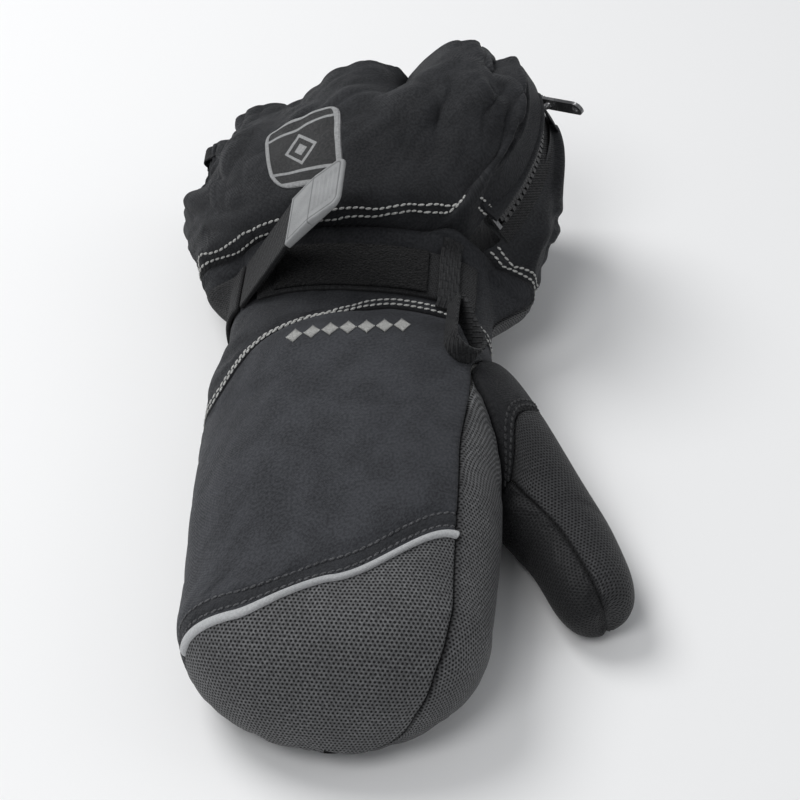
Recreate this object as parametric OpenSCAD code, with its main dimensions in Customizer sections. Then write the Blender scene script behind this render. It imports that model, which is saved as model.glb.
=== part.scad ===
// Padded ski mitten with a gauntlet cuff, for the right hand, lying on its palm.
// X runs to the thumb side, Y from the fingertips to the cuff, Z up from the resting plane.
// The origin is on the resting plane, under the middle of the palm.

/* [Hand] */
// Width of the padded hand
hand_width = 106; // [94:1:118]
// Thickness of the padded hand
hand_height = 61; // [52:1:70]
// Distance from the origin to the fingertips
finger_reach = 88; // [80:1:100]
// Length over which the fingertips round off
tip_round = 38; // [30:1:44]
// Height of the foremost point of the fingertips
tip_rise = 14; // [8:1:22]
// Distance from the origin to the wrist seam
wrist_seam = 78; // [76:1:82]
// How far the wrist seam drops on the little-finger side
seam_drop = 45; // [0:1:48]
// Share of the way round at which the wrist seam starts to drop
seam_start = 0.42; // [0.35:0.01:0.48]
// Share of the way round over which the wrist seam drops
seam_run = 0.38; // [0.34:0.01:0.5]

/* [Wrist] */
// Width of the drawn-in wrist
wrist_width = 98; // [88:1:104]
// Height of the top of the drawn-in wrist
wrist_top = 57; // [50:1:62]
// Clearance under the drawn-in wrist
wrist_lift = 6; // [2:1:12]
// Distance from the origin to the middle of the strap
strap_line = 97.5; // [96:0.5:100]

/* [Gauntlet] */
// Distance from the origin to the seam that starts the gauntlet
gauntlet_seam = 116; // [114:1:120]
// Distance from the origin to the gauntlet's mouth
mouth_end = 196; // [188:1:210]
// Width of the gauntlet where it is fullest
gauntlet_width = 142; // [130:1:152]
// Height of the gauntlet where it is fullest
gauntlet_height = 87; // [76:1:96]
// How much narrower than the gauntlet the elastic draws the mouth
mouth_draw = 12; // [2:1:20]
// Height of the mouth
mouth_height = 78; // [72:1:88]
// Clearance under the mouth
mouth_lift = 3; // [2.5:0.5:8]
// Rise of the gauntlet towards the thumb side, as a share of its height
gauntlet_tilt = 0.32; // [0:0.02:0.36]
// Depth of the soft folds that run in from the mouth
fold_depth = 4; // [0:0.5:5]

/* [Thumb] */
// Nearer end of the thumb seam along the hand
thumb_near = 10; // [4:1:16]
// Farther end of the thumb seam along the hand
thumb_far = 74; // [70:1:75]
// Reach of the thumb's tip to the side
thumb_out = 90; // [86:1:98]
// Reach of the thumb's tip towards the fingers
thumb_forward = 28; // [20:1:38]
// Width of the thumb
thumb_width = 31; // [26:1:34]
// Height of the thumb
thumb_height = 31; // [27:1:34]

/* [Layers] */
// Thickness of the hand's outer shell
shell_t = 1.2; // [0.8:0.1:1.8]
// Thickness of the gauntlet's fabric
gauntlet_t = 1; // [0.6:0.1:1.2]
// Thickness of the wadding
wadding_t = 3; // [2:0.5:4]
// Thickness of the waterproof insert
membrane_t = 0.4; // [0.3:0.1:0.6]
// Thickness of the hand's lining
lining_t = 1.4; // [0.8:0.1:2]
// Thickness of the gauntlet's lining
cuff_lining_t = 0.8; // [0.5:0.1:1]
// Gap between one layer and the next
layer_gap = 0.3; // [0.2:0.05:0.5]
// Room between the shell and the wadding, elastic or strap beside it
shell_gap = 0.9; // [0.8:0.1:1.2]

/* [Piping] */
// Width of the reflective piping
piping_w = 3; // [2:0.5:4]
// Height of the piping over the shell
piping_h = 1.8; // [1:0.1:2.5]
// Where the piping meets the thumb side, along the hand
piping_thumb = -26; // [-36:1:-16]
// Where the piping crosses the middle, along the hand
piping_middle = -63; // [-63:1:-54]
// Where the piping meets the little-finger side, along the hand
piping_finger = -65; // [-70:1:-60]

/* [Strap] */
// Width of the wrist strap
strap_width = 25; // [20:1:28]
// Thickness of the belt's webbing
belt_t = 1.2; // [0.8:0.1:1.6]
// Thickness of the loop pile
pile_t = 1.4; // [1:0.1:2]
// Thickness of the tongue
tongue_t = 1.6; // [1.2:0.1:2]
// Length of the tongue from its fold to the tab
tongue_length = 35; // [28:1:40]
// Steepness of the tongue as it stands open
tongue_rise = 60; // [52:1:66]
// Bend between the tongue and the tab
tab_bend = 11; // [0:1:16]
// Length of the moulded tab
tab_length = 31; // [24:1:36]
// Thickness of the moulded tab
tab_t = 2.8; // [2.4:0.1:3.4]
// Number of grip ribs on the tab
tab_ribs = 5; // [3:1:7]

/* [Keeper and hang loop] */
// Width of the keeper's webbing
keeper_width = 11; // [9:1:14]
// Thickness of the keeper's webbing
keeper_t = 1; // [0.8:0.1:1.4]
// Length of the hang loop
loop_length = 27; // [22:1:32]
// Breadth of the hang loop
loop_breadth = 14; // [12:1:16]
// Width of the hang loop's webbing
loop_width = 8; // [7:0.5:10]

/* [Zip] */
// Radius of the curve that the zip follows
zip_radius = 72; // [66:1:90]
// Lean of the zip from the side towards the back
zip_lean = 32; // [28:1:36]
// Distance from the origin to the zip's lower end
zip_start = 122; // [120:1:130]
// Width of one zip tape
tape_width = 10; // [9:0.5:11]
// Thickness of a zip tape
tape_t = 0.5; // [0.4:0.1:0.6]
// Half the width of the slot that the zip fills
slot_half = 5.4; // [5:0.1:6]
// Distance between neighbouring teeth on one tape
tooth_pitch = 2.8; // [2.4:0.1:3.4]
// Height of a tooth
tooth_h = 2.3; // [1.8:0.1:2.5]
// Clearance between meshing teeth
tooth_gap = 0.16; // [0.14:0.02:0.2]
// Length of the slider
slider_length = 11; // [9:0.5:13]
// Width of the slider
slider_width = 8.4; // [7.6:0.2:9]
// Length of the puller from its pivot
puller_length = 23; // [18:1:30]
// Width of the puller
puller_width = 6; // [5:0.5:7]
// Diameter of the puller's pivot bar
pivot_d = 1.4; // [1.2:0.1:1.6]
// Radius of the eye at the puller's end
eye_r = 1.5; // [1:0.1:1.8]
// Angle of the puller from the gauntlet as it hangs
puller_lift = 34; // [26:1:60]

/* [Badge] */
// Width of the badge
badge_width = 29; // [22:1:36]
// Height of the badge
badge_height = 34; // [26:1:40]
// Thickness of the badge
badge_t = 0.9; // [0.6:0.1:1.2]

/* [Hidden] */

charcoal = [0.20, 0.20, 0.22];
grip_grey = [0.34, 0.34, 0.36];
light_grey = [0.78, 0.79, 0.80];
tab_grey = [0.60, 0.62, 0.64];
lining_grey = [0.45, 0.46, 0.48];
metal_grey = [0.42, 0.43, 0.45];

// Depths of the layers under the outer surface. A negative depth lies outside it.
wadding_in = shell_t + shell_gap;
membrane_in = wadding_in + wadding_t + layer_gap;
lining_in = membrane_in + membrane_t + layer_gap;
tape_in = gauntlet_t + 0.6;
cuff_lining_in = tape_in + tape_t + 1.1;
belt_in = 0.5;
anchor_in = 0.9;
belt_out = belt_in + belt_t;
pile_in = belt_out + 0.15;
pile_out = pile_in + pile_t;
keeper_in = belt_out + 0.3;
keeper_out = keeper_in + keeper_t;

// Stations along the hand and the gauntlet: [distance, value]
strap_near = strap_line - strap_width / 2;
strap_far = strap_line + strap_width / 2;
tip_y = -finger_reach;
cap_y = tip_y + tip_round;
gauntlet_full = (gauntlet_seam + mouth_end) / 2 + 2;
flat_sink = 1.5;
centre_line = [[cap_y, -1], [0, -1.5], [strap_near, -3], [strap_far, -3], [gauntlet_full, -6], [mouth_end, -6]];
half_width_line = [
  [cap_y, hand_width / 2 - 1], [0, hand_width / 2 + 1], [45, hand_width / 2],
  [strap_near, wrist_width / 2], [strap_far + 1.5, wrist_width / 2],
  [gauntlet_seam + 14, 0.46 * gauntlet_width], [gauntlet_full, gauntlet_width / 2],
  [mouth_end, (gauntlet_width - mouth_draw) / 2]
];
top_line = [
  [cap_y, hand_height - 6], [0, hand_height], [45, hand_height + 0.5], [strap_near, wrist_top],
  [strap_far + 1.5, wrist_top], [gauntlet_seam + 6, wrist_top + 0.6 * (gauntlet_height - wrist_top)],
  [gauntlet_full, gauntlet_height], [mouth_end, mouth_height]
];
bottom_line = [
  [45, -flat_sink], [strap_near, wrist_lift], [strap_far, wrist_lift],
  [gauntlet_full, -flat_sink], [mouth_end, mouth_lift]
];
squareness_line = [[cap_y, 0.78], [strap_line, 0.84], [mouth_end, 0.88]];
tilt_line = [[strap_far, 0], [gauntlet_full, gauntlet_tilt], [mouth_end, 1.2 * gauntlet_tilt]];

// Smooth step from 0 to 1
function ease(t) = let (c = min(1, max(0, t))) c * c * (3 - 2 * c);

function mix(a, b, t) = a + (b - a) * t;

function signed_power(v, p) = sign(v) * pow(abs(v), p);

// Slope of a station curve at one station, level at its ends and its turning points
function station_slope(s, k) =
  k == 0 || k == len(s) - 1 ? 0 :
  let (a = (s[k][1] - s[k - 1][1]) / (s[k][0] - s[k - 1][0]))
  let (b = (s[k + 1][1] - s[k][1]) / (s[k + 1][0] - s[k][0]))
  a * b <= 0 ? 0 : 2 * a * b / (a + b);

// Value of a station curve at y
function along(s, y) =
  y <= s[0][0] ? s[0][1] :
  y >= s[len(s) - 1][0] ? s[len(s) - 1][1] :
  let (k = max([for (i = [0:len(s) - 2]) if (s[i][0] <= y) i]))
  let (h = s[k + 1][0] - s[k][0], t = (y - s[k][0]) / h)
  let (m0 = station_slope(s, k) * h, m1 = station_slope(s, k + 1) * h)
  (2 * pow(t, 3) - 3 * t * t + 1) * s[k][1] + (pow(t, 3) - 2 * t * t + t) * m0
  + (3 * t * t - 2 * pow(t, 3)) * s[k + 1][1] + (pow(t, 3) - t * t) * m1;

// The gauntlet's sides hang over the wrist: they take their width from farther along it.
lobe_lead = 14;
function lobe(turn, y) =
  lobe_lead * ease((y - wrist_seam) / (strap_line - wrist_seam)) * ease((0.4 - sin(turn)) / 0.5);

// Point of the plain mitten at a turn round it, a distance along it and a depth under it.
// Turn 0 is the thumb side, 90 the back, 180 the little-finger side and 270 the palm.
function plain_point(turn, y, depth) =
  let (t = max(0, (cap_y - y) / tip_round), k = sqrt(max(0, 1 - t * t)))
  let (half = along(half_width_line, y + lobe(turn, y)) - depth)
  let (low = along(bottom_line, y) + depth, high = along(top_line, y) - depth)
  let (e = along(squareness_line, y))
  let (c = signed_power(cos(turn), e), s = signed_power(sin(turn), e))
  let (z = mix(tip_rise, (low + high) / 2, k) + k * s * (high - low) / 2)
  [
    along(centre_line, y) + k * half * c,
    y < cap_y ? cap_y - t * (tip_round - depth) : y,
    z + along(tilt_line, y) * c * (z - low)
  ];

// The zip's centre line is an arc in a plane that leans from the side towards the back.
zip_middle = gauntlet_full + 12;
zip_end = mouth_end - 1;
zip_turn_at_middle = 10.5;
zip_peak = plain_point(zip_turn_at_middle, zip_middle, 0);
zip_out = [cos(zip_lean), 0, sin(zip_lean)];
zip_across = [-sin(zip_lean), 0, cos(zip_lean)];
zip_centre = zip_peak - zip_radius * zip_out;

function zip_point(y, depth) =
  zip_peak + [0, y - zip_middle, 0]
  + (sqrt(pow(zip_radius - depth, 2) - pow(y - zip_middle, 2)) - zip_radius) * zip_out;

// Turn at which the plain mitten passes nearest the zip
function zip_turn(y) =
  let (p = zip_point(y, 0), e = along(squareness_line, y), tilt = along(tilt_line, y))
  let (low = along(bottom_line, y), high = along(top_line, y))
  let (c = (p.x - along(centre_line, y)) / along(half_width_line, y))
  let (z = (p.z + tilt * c * low) / (1 + tilt * c))
  let (s = (z - (low + high) / 2) * 2 / (high - low))
  atan2(signed_power(s, 1 / e), signed_power(c, 1 / e));

// Millimetres round the gauntlet for one degree of turn beside the zip
zip_turn_mm = 1.2;
zip_flat_turn = 10;
zip_fade_turn = 18;
zip_fade_y = 12;

function turn_from_zip(turn, y) = (turn - zip_turn(y) + 540) % 360 - 180;

// Share by which the surface follows the zip's own flat band
function zip_share(turn, y) =
  y < zip_start - zip_fade_y ? 0 :
  ease((y - zip_start + zip_fade_y) / zip_fade_y)
  * (1 - ease((abs(turn_from_zip(turn, y)) - zip_flat_turn) / zip_fade_turn));

// Height of the soft folds at the mouth
fold_turns = 10;
fold_phase = 62;
function fold(turn, y) =
  fold_depth * ease((y - gauntlet_seam - 8) / (mouth_end - gauntlet_seam - 8))
  * cos(fold_turns * (turn - fold_phase));

// Point of the real mitten, with its folds, the zip's band and its flattened underside
function skin_point(turn, y, depth) =
  let (p = plain_point(turn, y, depth), share = zip_share(turn, y))
  let (f = y < gauntlet_seam ? 0 : (1 - share) * fold(turn, y) * (sin(turn) > -0.3 ? 1 : 0.3))
  let (q = p + f * [cos(turn), 0, sin(turn)])
  let (band = share > 0 ? zip_point(y, depth) + turn_from_zip(turn, y) * zip_turn_mm * zip_across : q)
  let (r = mix(q, band, share))
  [r.x, r.y, max(r.z, max(depth, 0))];

// Seam of the thumb, as a leaf on the thumb side of the hand
thumb_turn = -4;
thumb_turn_up = 43;
thumb_turn_down = 36;
thumb_skew = 1.6;
// The opening's near end is a narrow corner, so deeper layers turn into the thumb farther back
thumb_corner = 2.2;
function thumb_start(depth) = thumb_near + thumb_corner * depth;
function thumb_leaf(y, depth) =
  let (t = (y - thumb_start(depth)) / (thumb_far - depth - thumb_start(depth)))
  t <= 0 || t >= 1 ? 0 : sin(180 * pow(t, thumb_skew));
function thumb_top_turn(y, depth) = thumb_turn + (thumb_turn_up - depth) * thumb_leaf(y, depth);
function thumb_low_turn(y, depth) = thumb_turn - (thumb_turn_down - depth) * thumb_leaf(y, depth);
function thumb_seam_y(ring, depth) =
  mix(thumb_start(depth), thumb_far - depth, (1 + cos(ring)) / 2);

// Seams of the hand, as turns at a distance along it
gusset_apex = thumb_near + 0.68 * (thumb_far - thumb_near);
finger_turn = 190;
gusset_top_line = [
  [tip_y + 2, -90], [tip_y + 4, -20], [tip_y + 8, 14], [tip_y + 16, 35], [tip_y + 30, 43], [8, 47],
  [gusset_apex, thumb_top_turn(gusset_apex, 0)]
];
palm_seam_line = [
  [tip_y + 2, -90], [tip_y + 6, -62], [tip_y + 16, -42], [tip_y + 35, -32],
  [thumb_near - 20, -28], [thumb_near, thumb_turn]
];
finger_seam_line = [
  [tip_y + 2, 270], [tip_y + 6, 242], [tip_y + 16, 218], [tip_y + 28, 202], [cap_y + 5, finger_turn]
];
function back_right_turn(y) =
  y < gusset_apex ? along(gusset_top_line, y) : thumb_top_turn(y, 0);
function palm_right_turn(y) =
  y < thumb_near ? along(palm_seam_line, y) : thumb_low_turn(y, 0);
// across runs from 0 at the thumb side to 1 at the little-finger side
function back_turn(across, y) = mix(back_right_turn(y), along(finger_seam_line, y), across);
function palm_turn(across, y) = mix(360 + palm_right_turn(y), along(finger_seam_line, y), across);
piping_line = [[0, piping_thumb], [0.5, piping_middle], [1, piping_finger]];
function piping_y(across) = along(piping_line, across);
function wrist_y(across) = wrist_seam - seam_drop * ease((across - seam_start) / seam_run);

// Two triangles for each cell of a grid of points, without those that have no area
function grid_faces(g) = [
  for (r = [0:len(g) - 2], c = [0:len(g[0]) - 2])
    for (t = [[g[r][c], g[r][c + 1], g[r + 1][c + 1]], [g[r][c], g[r + 1][c + 1], g[r + 1][c]]])
      if (norm(t[0] - t[1]) > 1e-4 && norm(t[1] - t[2]) > 1e-4 && norm(t[2] - t[0]) > 1e-4) t
];
function turned(faces) = [for (t = faces) [t[0], t[2], t[1]]];
function faces_volume(faces) =
  let (v = [for (t = faces) cross(t[0], t[1]) * t[2]])
  v * [for (i = v) 1] / 6;
function column(g, c) = [for (r = g) r[c]];

module solid_of(faces) {
  sorted = faces_volume(faces) > 0 ? turned(faces) : faces;
  polyhedron([for (t = sorted) each t], [for (i = [0:len(sorted) - 1]) [3 * i, 3 * i + 1, 3 * i + 2]]);
}

// Closed sheet between two grids of points
module sheet(outer, inner) {
  last = len(outer[0]) - 1;
  solid_of(concat(
    grid_faces(outer),
    turned(grid_faces(inner)),
    turned(grid_faces([outer[0], inner[0]])),
    grid_faces([outer[len(outer) - 1], inner[len(inner) - 1]]),
    grid_faces([column(outer, 0), column(inner, 0)]),
    turned(grid_faces([column(outer, last), column(inner, last)]))
  ));
}

// Panel of the mitten: turn(across, y) and the two ends along Y as functions of across
module back_skin(start, end, rows, columns, thickness, power = 1) {
  function grid(depth) = [
    for (r = [0:rows]) [
      for (c = [0:columns])
        let (a = c / columns, y = mix(start(a), end(a), pow(r / rows, power)))
        skin_point(back_turn(a, y), y, depth)
    ]
  ];
  sheet(grid(0), grid(thickness));
}

module palm_skin(start, end, rows, columns, thickness, power = 1) {
  function grid(depth) = [
    for (r = [0:rows]) [
      for (c = [0:columns])
        let (a = c / columns, y = mix(start(a), end(a), pow(r / rows, power)))
        skin_point(palm_turn(a, y), y, depth)
    ]
  ];
  sheet(grid(0), grid(thickness));
}

// Panel between two turns at each distance of a list, at a depth under the outer surface
module side_skin(distances, first, second, columns, top, thickness) {
  function grid(depth) = [
    for (y = distances) [for (c = [0:columns]) skin_point(mix(first(y), second(y), c / columns), y, depth)]
  ];
  sheet(grid(top), grid(top + thickness));
}

// Band round the mitten: outer and inner are lists of [y, depth]
module band(outer, inner, first, second, steps) {
  function grid(profile) = [
    for (p = profile) [for (c = [0:steps]) skin_point(mix(first(p[0]), second(p[0]), c / steps), p[0], p[1])]
  ];
  sheet(grid(outer), grid(inner));
}

function ruled(from, to, steps) = [for (i = [0:steps]) mix(from, to, i / steps)];

// Hand panels; those sewn end to end share their columns
hand_columns = 15;
palm_columns = 13;

module back_panel() {
  color(charcoal) back_skin(function (a) piping_y(a), function (a) wrist_y(a), 12, hand_columns, shell_t);
}

module tip_panel() {
  color(grip_grey) back_skin(function (a) tip_y, function (a) piping_y(a), 11, hand_columns, shell_t, 1.7);
}

module palm_panel() {
  color(grip_grey) palm_skin(function (a) tip_y + 2, function (a) wrist_y(a), 20, palm_columns, shell_t, 1.4);
}

module side_gusset() {
  color(grip_grey)
    side_skin(
      concat([tip_y + 2], [for (a = [22.5:11.25:78.75]) cap_y - tip_round * cos(a)],
        ruled(cap_y, thumb_near, 5), ruled(thumb_near + 7, gusset_apex, 5)),
      function (y) y < thumb_near ? along(palm_seam_line, y) : thumb_top_turn(y, 0),
      function (y) along(gusset_top_line, y), 5, 0, shell_t
    );
}

// Rows of the wrist's panels: three to the strap, four under it, two past it
function wrist_row(r, a) =
  r < 3 ? mix(wrist_y(a), strap_near, r / 3) :
  r < 8 ? mix(strap_near, strap_far, (r - 3) / 4) : mix(strap_far, gauntlet_seam, (r - 7) / 2);

module wrist_skin(columns, turn) {
  function grid(depth) = [
    for (r = [0:9]) [for (c = [0:columns]) let (a = c / columns, y = wrist_row(r, a)) skin_point(turn(a, y), y, depth)]
  ];
  sheet(grid(0), grid(shell_t));
}

module wrist_yoke() {
  color(charcoal) wrist_skin(hand_columns, function (a, y) back_turn(a, y));
}

module wrist_under() {
  color(grip_grey) wrist_skin(palm_columns, function (a, y) palm_turn(a, y));
}

// Thumb: s runs from 0 at its seam to 1 at its tip, ring turns round it
thumb_x_line = [[0, 46], [0.3, 61], [0.65, 78], [1, thumb_out]];
thumb_y_line = [[0, 44], [0.3, 26], [0.65, 1], [1, -thumb_forward]];
thumb_half_width_line = [[0, 30], [0.3, thumb_width * 0.64], [0.65, thumb_width / 2], [1, thumb_width * 0.47]];
thumb_half_height_line = [[0, 24], [0.3, thumb_height * 0.58], [0.65, thumb_height / 2], [1, thumb_height * 0.46]];
thumb_sink = 0.8;
thumb_cap = 0.78;
thumb_join = 0.45;
web_spring = 0.5;
thumb_cap_mm = 22;
thumb_step = 18;

function thumb_middle(s) =
  [along(thumb_x_line, s), along(thumb_y_line, s), along(thumb_half_height_line, s) - thumb_sink];

// The free thumb, past the web that joins it to the hand
function free_thumb(ring, s, depth) =
  let (t = max(0, (s - thumb_cap) / (1 - thumb_cap)), k = sqrt(max(0, 1 - t * t)))
  let (sd = s < thumb_cap ? s : thumb_cap + (s - thumb_cap) * (1 - depth / thumb_cap_mm))
  let (ahead = thumb_middle(min(1, sd + 0.05)) - thumb_middle(sd - 0.05))
  let (side = [-ahead.y, ahead.x, 0] / norm([ahead.x, ahead.y]))
  thumb_middle(sd) + k * (along(thumb_half_width_line, sd) - depth) * cos(ring) * side
    + [0, 0, k * (along(thumb_half_height_line, sd) - depth) * sin(ring)];

// The web leaves the hand's seam square to the hand and runs into the free thumb without a kink
function thumb_web(ring, t, depth) =
  let (seam_y = thumb_seam_y(ring, depth))
  let (seam_turn = sin(ring) >= 0 ? thumb_top_turn(seam_y, depth) : thumb_low_turn(seam_y, depth))
  let (from = skin_point(seam_turn, seam_y, depth), to = free_thumb(ring, thumb_join, depth))
  let (onward = free_thumb(ring, thumb_join + 0.02, depth) - to, reach = norm(to - from))
  let (leave = web_spring * reach * [cos(seam_turn), 0, sin(seam_turn)])
  let (arrive = reach * onward / norm(onward))
  (2 * t * t * t - 3 * t * t + 1) * from + (t * t * t - 2 * t * t + t) * leave
    + (3 * t * t - 2 * t * t * t) * to + (t * t * t - t * t) * arrive;

function thumb_point(ring, s, depth) =
  let (q = s >= thumb_join ? free_thumb(ring, s, depth) : thumb_web(ring, s / thumb_join, depth))
  [q.x, q.y, max(q.z, depth)];

// The thumb's seam winds from its inner side to its top. Each skin covers half a turn beside it.
thumb_seam_line = [[0, 150], [0.3, 124], [0.65, 111], [1, 100]];
thumb_grip_start = 0.24;

module thumb_skin(start, end, rows, first) {
  function grid(depth) = [
    for (r = [0:rows])
      let (s = mix(start, end, r / rows))
      [for (ring = [0:thumb_step:180]) thumb_point(along(thumb_seam_line, s) + first + ring, s, depth)]
  ];
  sheet(grid(0), grid(shell_t));
}

module thumb_gore() {
  color(charcoal) thumb_skin(0, thumb_grip_start, 5, -180);
}

module thumb_grip_upper() {
  color(grip_grey) thumb_skin(thumb_grip_start, 1, 10, -180);
}

module thumb_grip_lower() {
  color(grip_grey) thumb_skin(0, 1, 14, 0);
}

// Gauntlet panels, on both sides of the zip's slot
function back_edge(y) = zip_turn(y) + slot_half / zip_turn_mm;
function under_edge(y) = zip_turn(y) + 360 - slot_half / zip_turn_mm;
gauntlet_rows = ruled(gauntlet_seam, mouth_end - 2.5, 11);
back_columns = 26;
under_columns = 24;

// Band round the gauntlet on its panels' own columns, open over the zip
module mouth_band(outer, inner, open_turn) {
  last = back_columns + under_columns;
  function turn(c, y) =
    c == 0 ? zip_turn(y) + open_turn :
    c == last ? zip_turn(y) + 360 - open_turn :
    c < back_columns ? mix(back_edge(y), finger_turn, c / back_columns) :
    mix(finger_turn, under_edge(y), (c - back_columns) / under_columns);
  function grid(profile) = [for (p = profile) [for (c = [0:last]) skin_point(turn(c, p[0]), p[0], p[1])]];
  sheet(grid(outer), grid(inner));
}

module gauntlet_back() {
  color(charcoal)
    side_skin(gauntlet_rows, function (y) back_edge(y), function (y) finger_turn, back_columns, 0, gauntlet_t);
}

module gauntlet_under() {
  color(charcoal)
    side_skin(gauntlet_rows, function (y) finger_turn, function (y) under_edge(y), under_columns, 0, gauntlet_t);
}

// The hem is a folded tape round the mouth, with an elastic inside it
hem_width = 10;
hem_t = 0.9;
hem_gap = 0.2;
hem_start = mouth_end - hem_width;
hem_inside = gauntlet_t + layer_gap + 1.2;

module hem_casing() {
  outer = [
    [hem_start, -hem_t - hem_gap], [mouth_end - 2, -hem_t - hem_gap], [mouth_end, hem_inside / 2],
    [mouth_end - 2, hem_inside + hem_t], [hem_start, hem_inside + hem_t]
  ];
  inner = [
    [hem_start, -hem_gap], [mouth_end - 2.2, -hem_gap], [mouth_end - hem_t, hem_inside / 2],
    [mouth_end - 2.2, hem_inside], [hem_start, hem_inside]
  ];
  color(charcoal) mouth_band(outer, inner, (slot_half + 1.2) / zip_turn_mm);
}

module hem_elastic() {
  near = mouth_end - 8;
  far = mouth_end - 3;
  top = gauntlet_t + 0.3;
  bottom = hem_inside - 0.3;
  color(light_grey) mouth_band([[near, top], [far, top]], [[near, bottom], [far, bottom]], (tape_width + 0.8) / zip_turn_mm);
}

// Half-round piping on the seam between the back and the tip
module piping() {
  function loop(across) =
    let (y0 = piping_y(across))
    [
      for (a = [0:36:180])
        let (y = y0 + cos(a) * piping_w / 2)
        skin_point(back_turn(across, y), y, -0.05 - piping_h * sin(a))
    ];
  function base(across) =
    let (y0 = piping_y(across))
    [
      for (a = [0:36:180])
        let (y = y0 + cos(a) * piping_w / 2)
        skin_point(back_turn(across, y), y, -0.05)
    ];
  steps = 20;
  arcs = [for (c = [0:steps]) loop(c / steps)];
  flats = [for (c = [0:steps]) base(c / steps)];
  color(light_grey) solid_of(concat(
    grid_faces(arcs),
    turned(grid_faces(flats)),
    turned(grid_faces([arcs[0], flats[0]])),
    grid_faces([arcs[steps], flats[steps]])
  ));
}

// Bag that follows the hand and the thumb between two depths, open at the wrist
module bag(depth_out, depth_in, end, end_rows) {
  columns = 22;
  rings = [for (ring = [180:-thumb_step * 2:0]) ring];
  function rows(depth) = concat(
    [for (a = [0:22.5:67.5]) cap_y - tip_round * cos(a)],
    ruled(cap_y, thumb_start(depth) - 12, 2),
    [for (ring = rings) thumb_seam_y(ring, depth)],
    ruled(thumb_far + 5, end, end_rows)
  );
  function grid(depth) = [
    for (y = rows(depth)) [
      for (c = [0:columns])
        let (first = thumb_top_turn(y, depth), second = thumb_low_turn(y, depth))
        skin_point(c < columns ? mix(first, 360 + second, c / columns) : second, y, depth)
    ]
  ];
  function thumb(depth) = [
    for (s = [0, 0.12, 0.24, 0.36, 0.55, 0.78, 0.93, 1]) [
      for (ring = [0:thumb_step * 2:360]) thumb_point(ring == 360 ? 0 : ring, s, depth)
    ]
  ];
  out = grid(depth_out);
  inn = grid(depth_in);
  solid_of(concat(
    grid_faces(out),
    turned(grid_faces(inn)),
    grid_faces([out[len(out) - 1], inn[len(inn) - 1]]),
    turned(grid_faces(thumb(depth_out))),
    grid_faces(thumb(depth_in))
  ));
}

liner_end = gauntlet_seam - 1;

module wadding() {
  color(light_grey) bag(wadding_in, wadding_in + wadding_t, strap_near + 2, 2);
}

module membrane_insert() {
  color(tab_grey) bag(membrane_in, membrane_in + membrane_t, liner_end, 5);
}

module hand_lining() {
  color(lining_grey) bag(lining_in, lining_in + lining_t, liner_end, 5);
}

lining_slot_turn = tape_width / zip_turn_mm;
module cuff_lining() {
  color(lining_grey)
    side_skin(
      ruled(gauntlet_seam, hem_start - 0.5, 7),
      function (y) zip_turn(y) + lining_slot_turn, function (y) zip_turn(y) + 360 - lining_slot_turn,
      30, cuff_lining_in, cuff_lining_t
    );
}

// Elastic that gathers the wrist on the palm side
module wrist_elastic() {
  top = shell_t + shell_gap;
  lines = ruled(strap_line - 6.25, strap_line + 6.25, 2);
  color(light_grey)
    band([for (y = lines) [y, top]], [for (y = lines) [y, top + 1.1]],
      function (y) 205, function (y) 335, 16);
}

// Strap: a belt over the back, a loop pile on it, and a tongue that folds at the little-finger side
wrist_turn_mm = 0.85;
belt_first_turn = 36;
belt_last_turn = 136.5;
hinge_turn = 150;
anchor_first_turn = 153.5;
anchor_last_turn = 250;
pile_first_turn = 66;
pile_last_turn = 125;
hinge_gap = 0.6;
hinge_point = skin_point(hinge_turn, strap_line, -tongue_t / 2 - hinge_gap);

module wrist_belt() {
  color(charcoal)
    band([[strap_near, -belt_out], [strap_far, -belt_out]], [[strap_near, -belt_in], [strap_far, -belt_in]],
      function (y) belt_first_turn, function (y) belt_last_turn, 16);
}

module loop_pile() {
  near = strap_near + 1;
  far = strap_far - 1;
  color([0.12, 0.12, 0.13])
    band([[near, -pile_out], [far, -pile_out]], [[near, -pile_in], [far, -pile_in]],
      function (y) pile_first_turn, function (y) pile_last_turn, 12);
}

module strap_anchor() {
  lines = ruled(strap_near, strap_far, 4);
  color(charcoal)
    band([for (y = lines) [y, -anchor_in - tongue_t]], [for (y = lines) [y, -anchor_in]],
      function (y) anchor_first_turn, function (y) anchor_last_turn, 16);
}

// Frame at the fold, with X along the open tongue
module tongue_frame() {
  translate(hinge_point) rotate([0, -tongue_rise, 0]) children();
}

// Frame at the start of the tab, with X along the tab
module tab_frame() {
  tongue_frame() translate([tongue_length, 0, 0]) rotate([0, tab_bend, 0]) children();
}

tab_pocket = 7;

// The tongue's profile: round at the fold, bent where it enters the tab
module strap_tongue() {
  half = tongue_t / 2;
  mitre = half * tan(tab_bend / 2);
  run = [cos(tab_bend), -sin(tab_bend)];
  up = [sin(tab_bend), cos(tab_bend)];
  bend = [tongue_length, 0];
  color(charcoal) tongue_frame()
    rotate([90, 0, 0]) linear_extrude(strap_width, center = true) polygon(concat(
      [for (a = [90:15:270]) half * [cos(a), sin(a)]],
      [[tongue_length - mitre, -half], bend + tab_pocket * run - half * up,
        bend + tab_pocket * run + half * up, [tongue_length + mitre, half]]
    ));
}

hook_t = 1.1;
hook_start = 9;
module hook_patch() {
  hook_length = tongue_length - hook_start - 2;
  color([0.12, 0.12, 0.13])
    tongue_frame() translate([hook_start, 1 - strap_width / 2, -tongue_t / 2 - hook_t])
      cube([hook_length, strap_width - 2, hook_t]);
}

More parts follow.
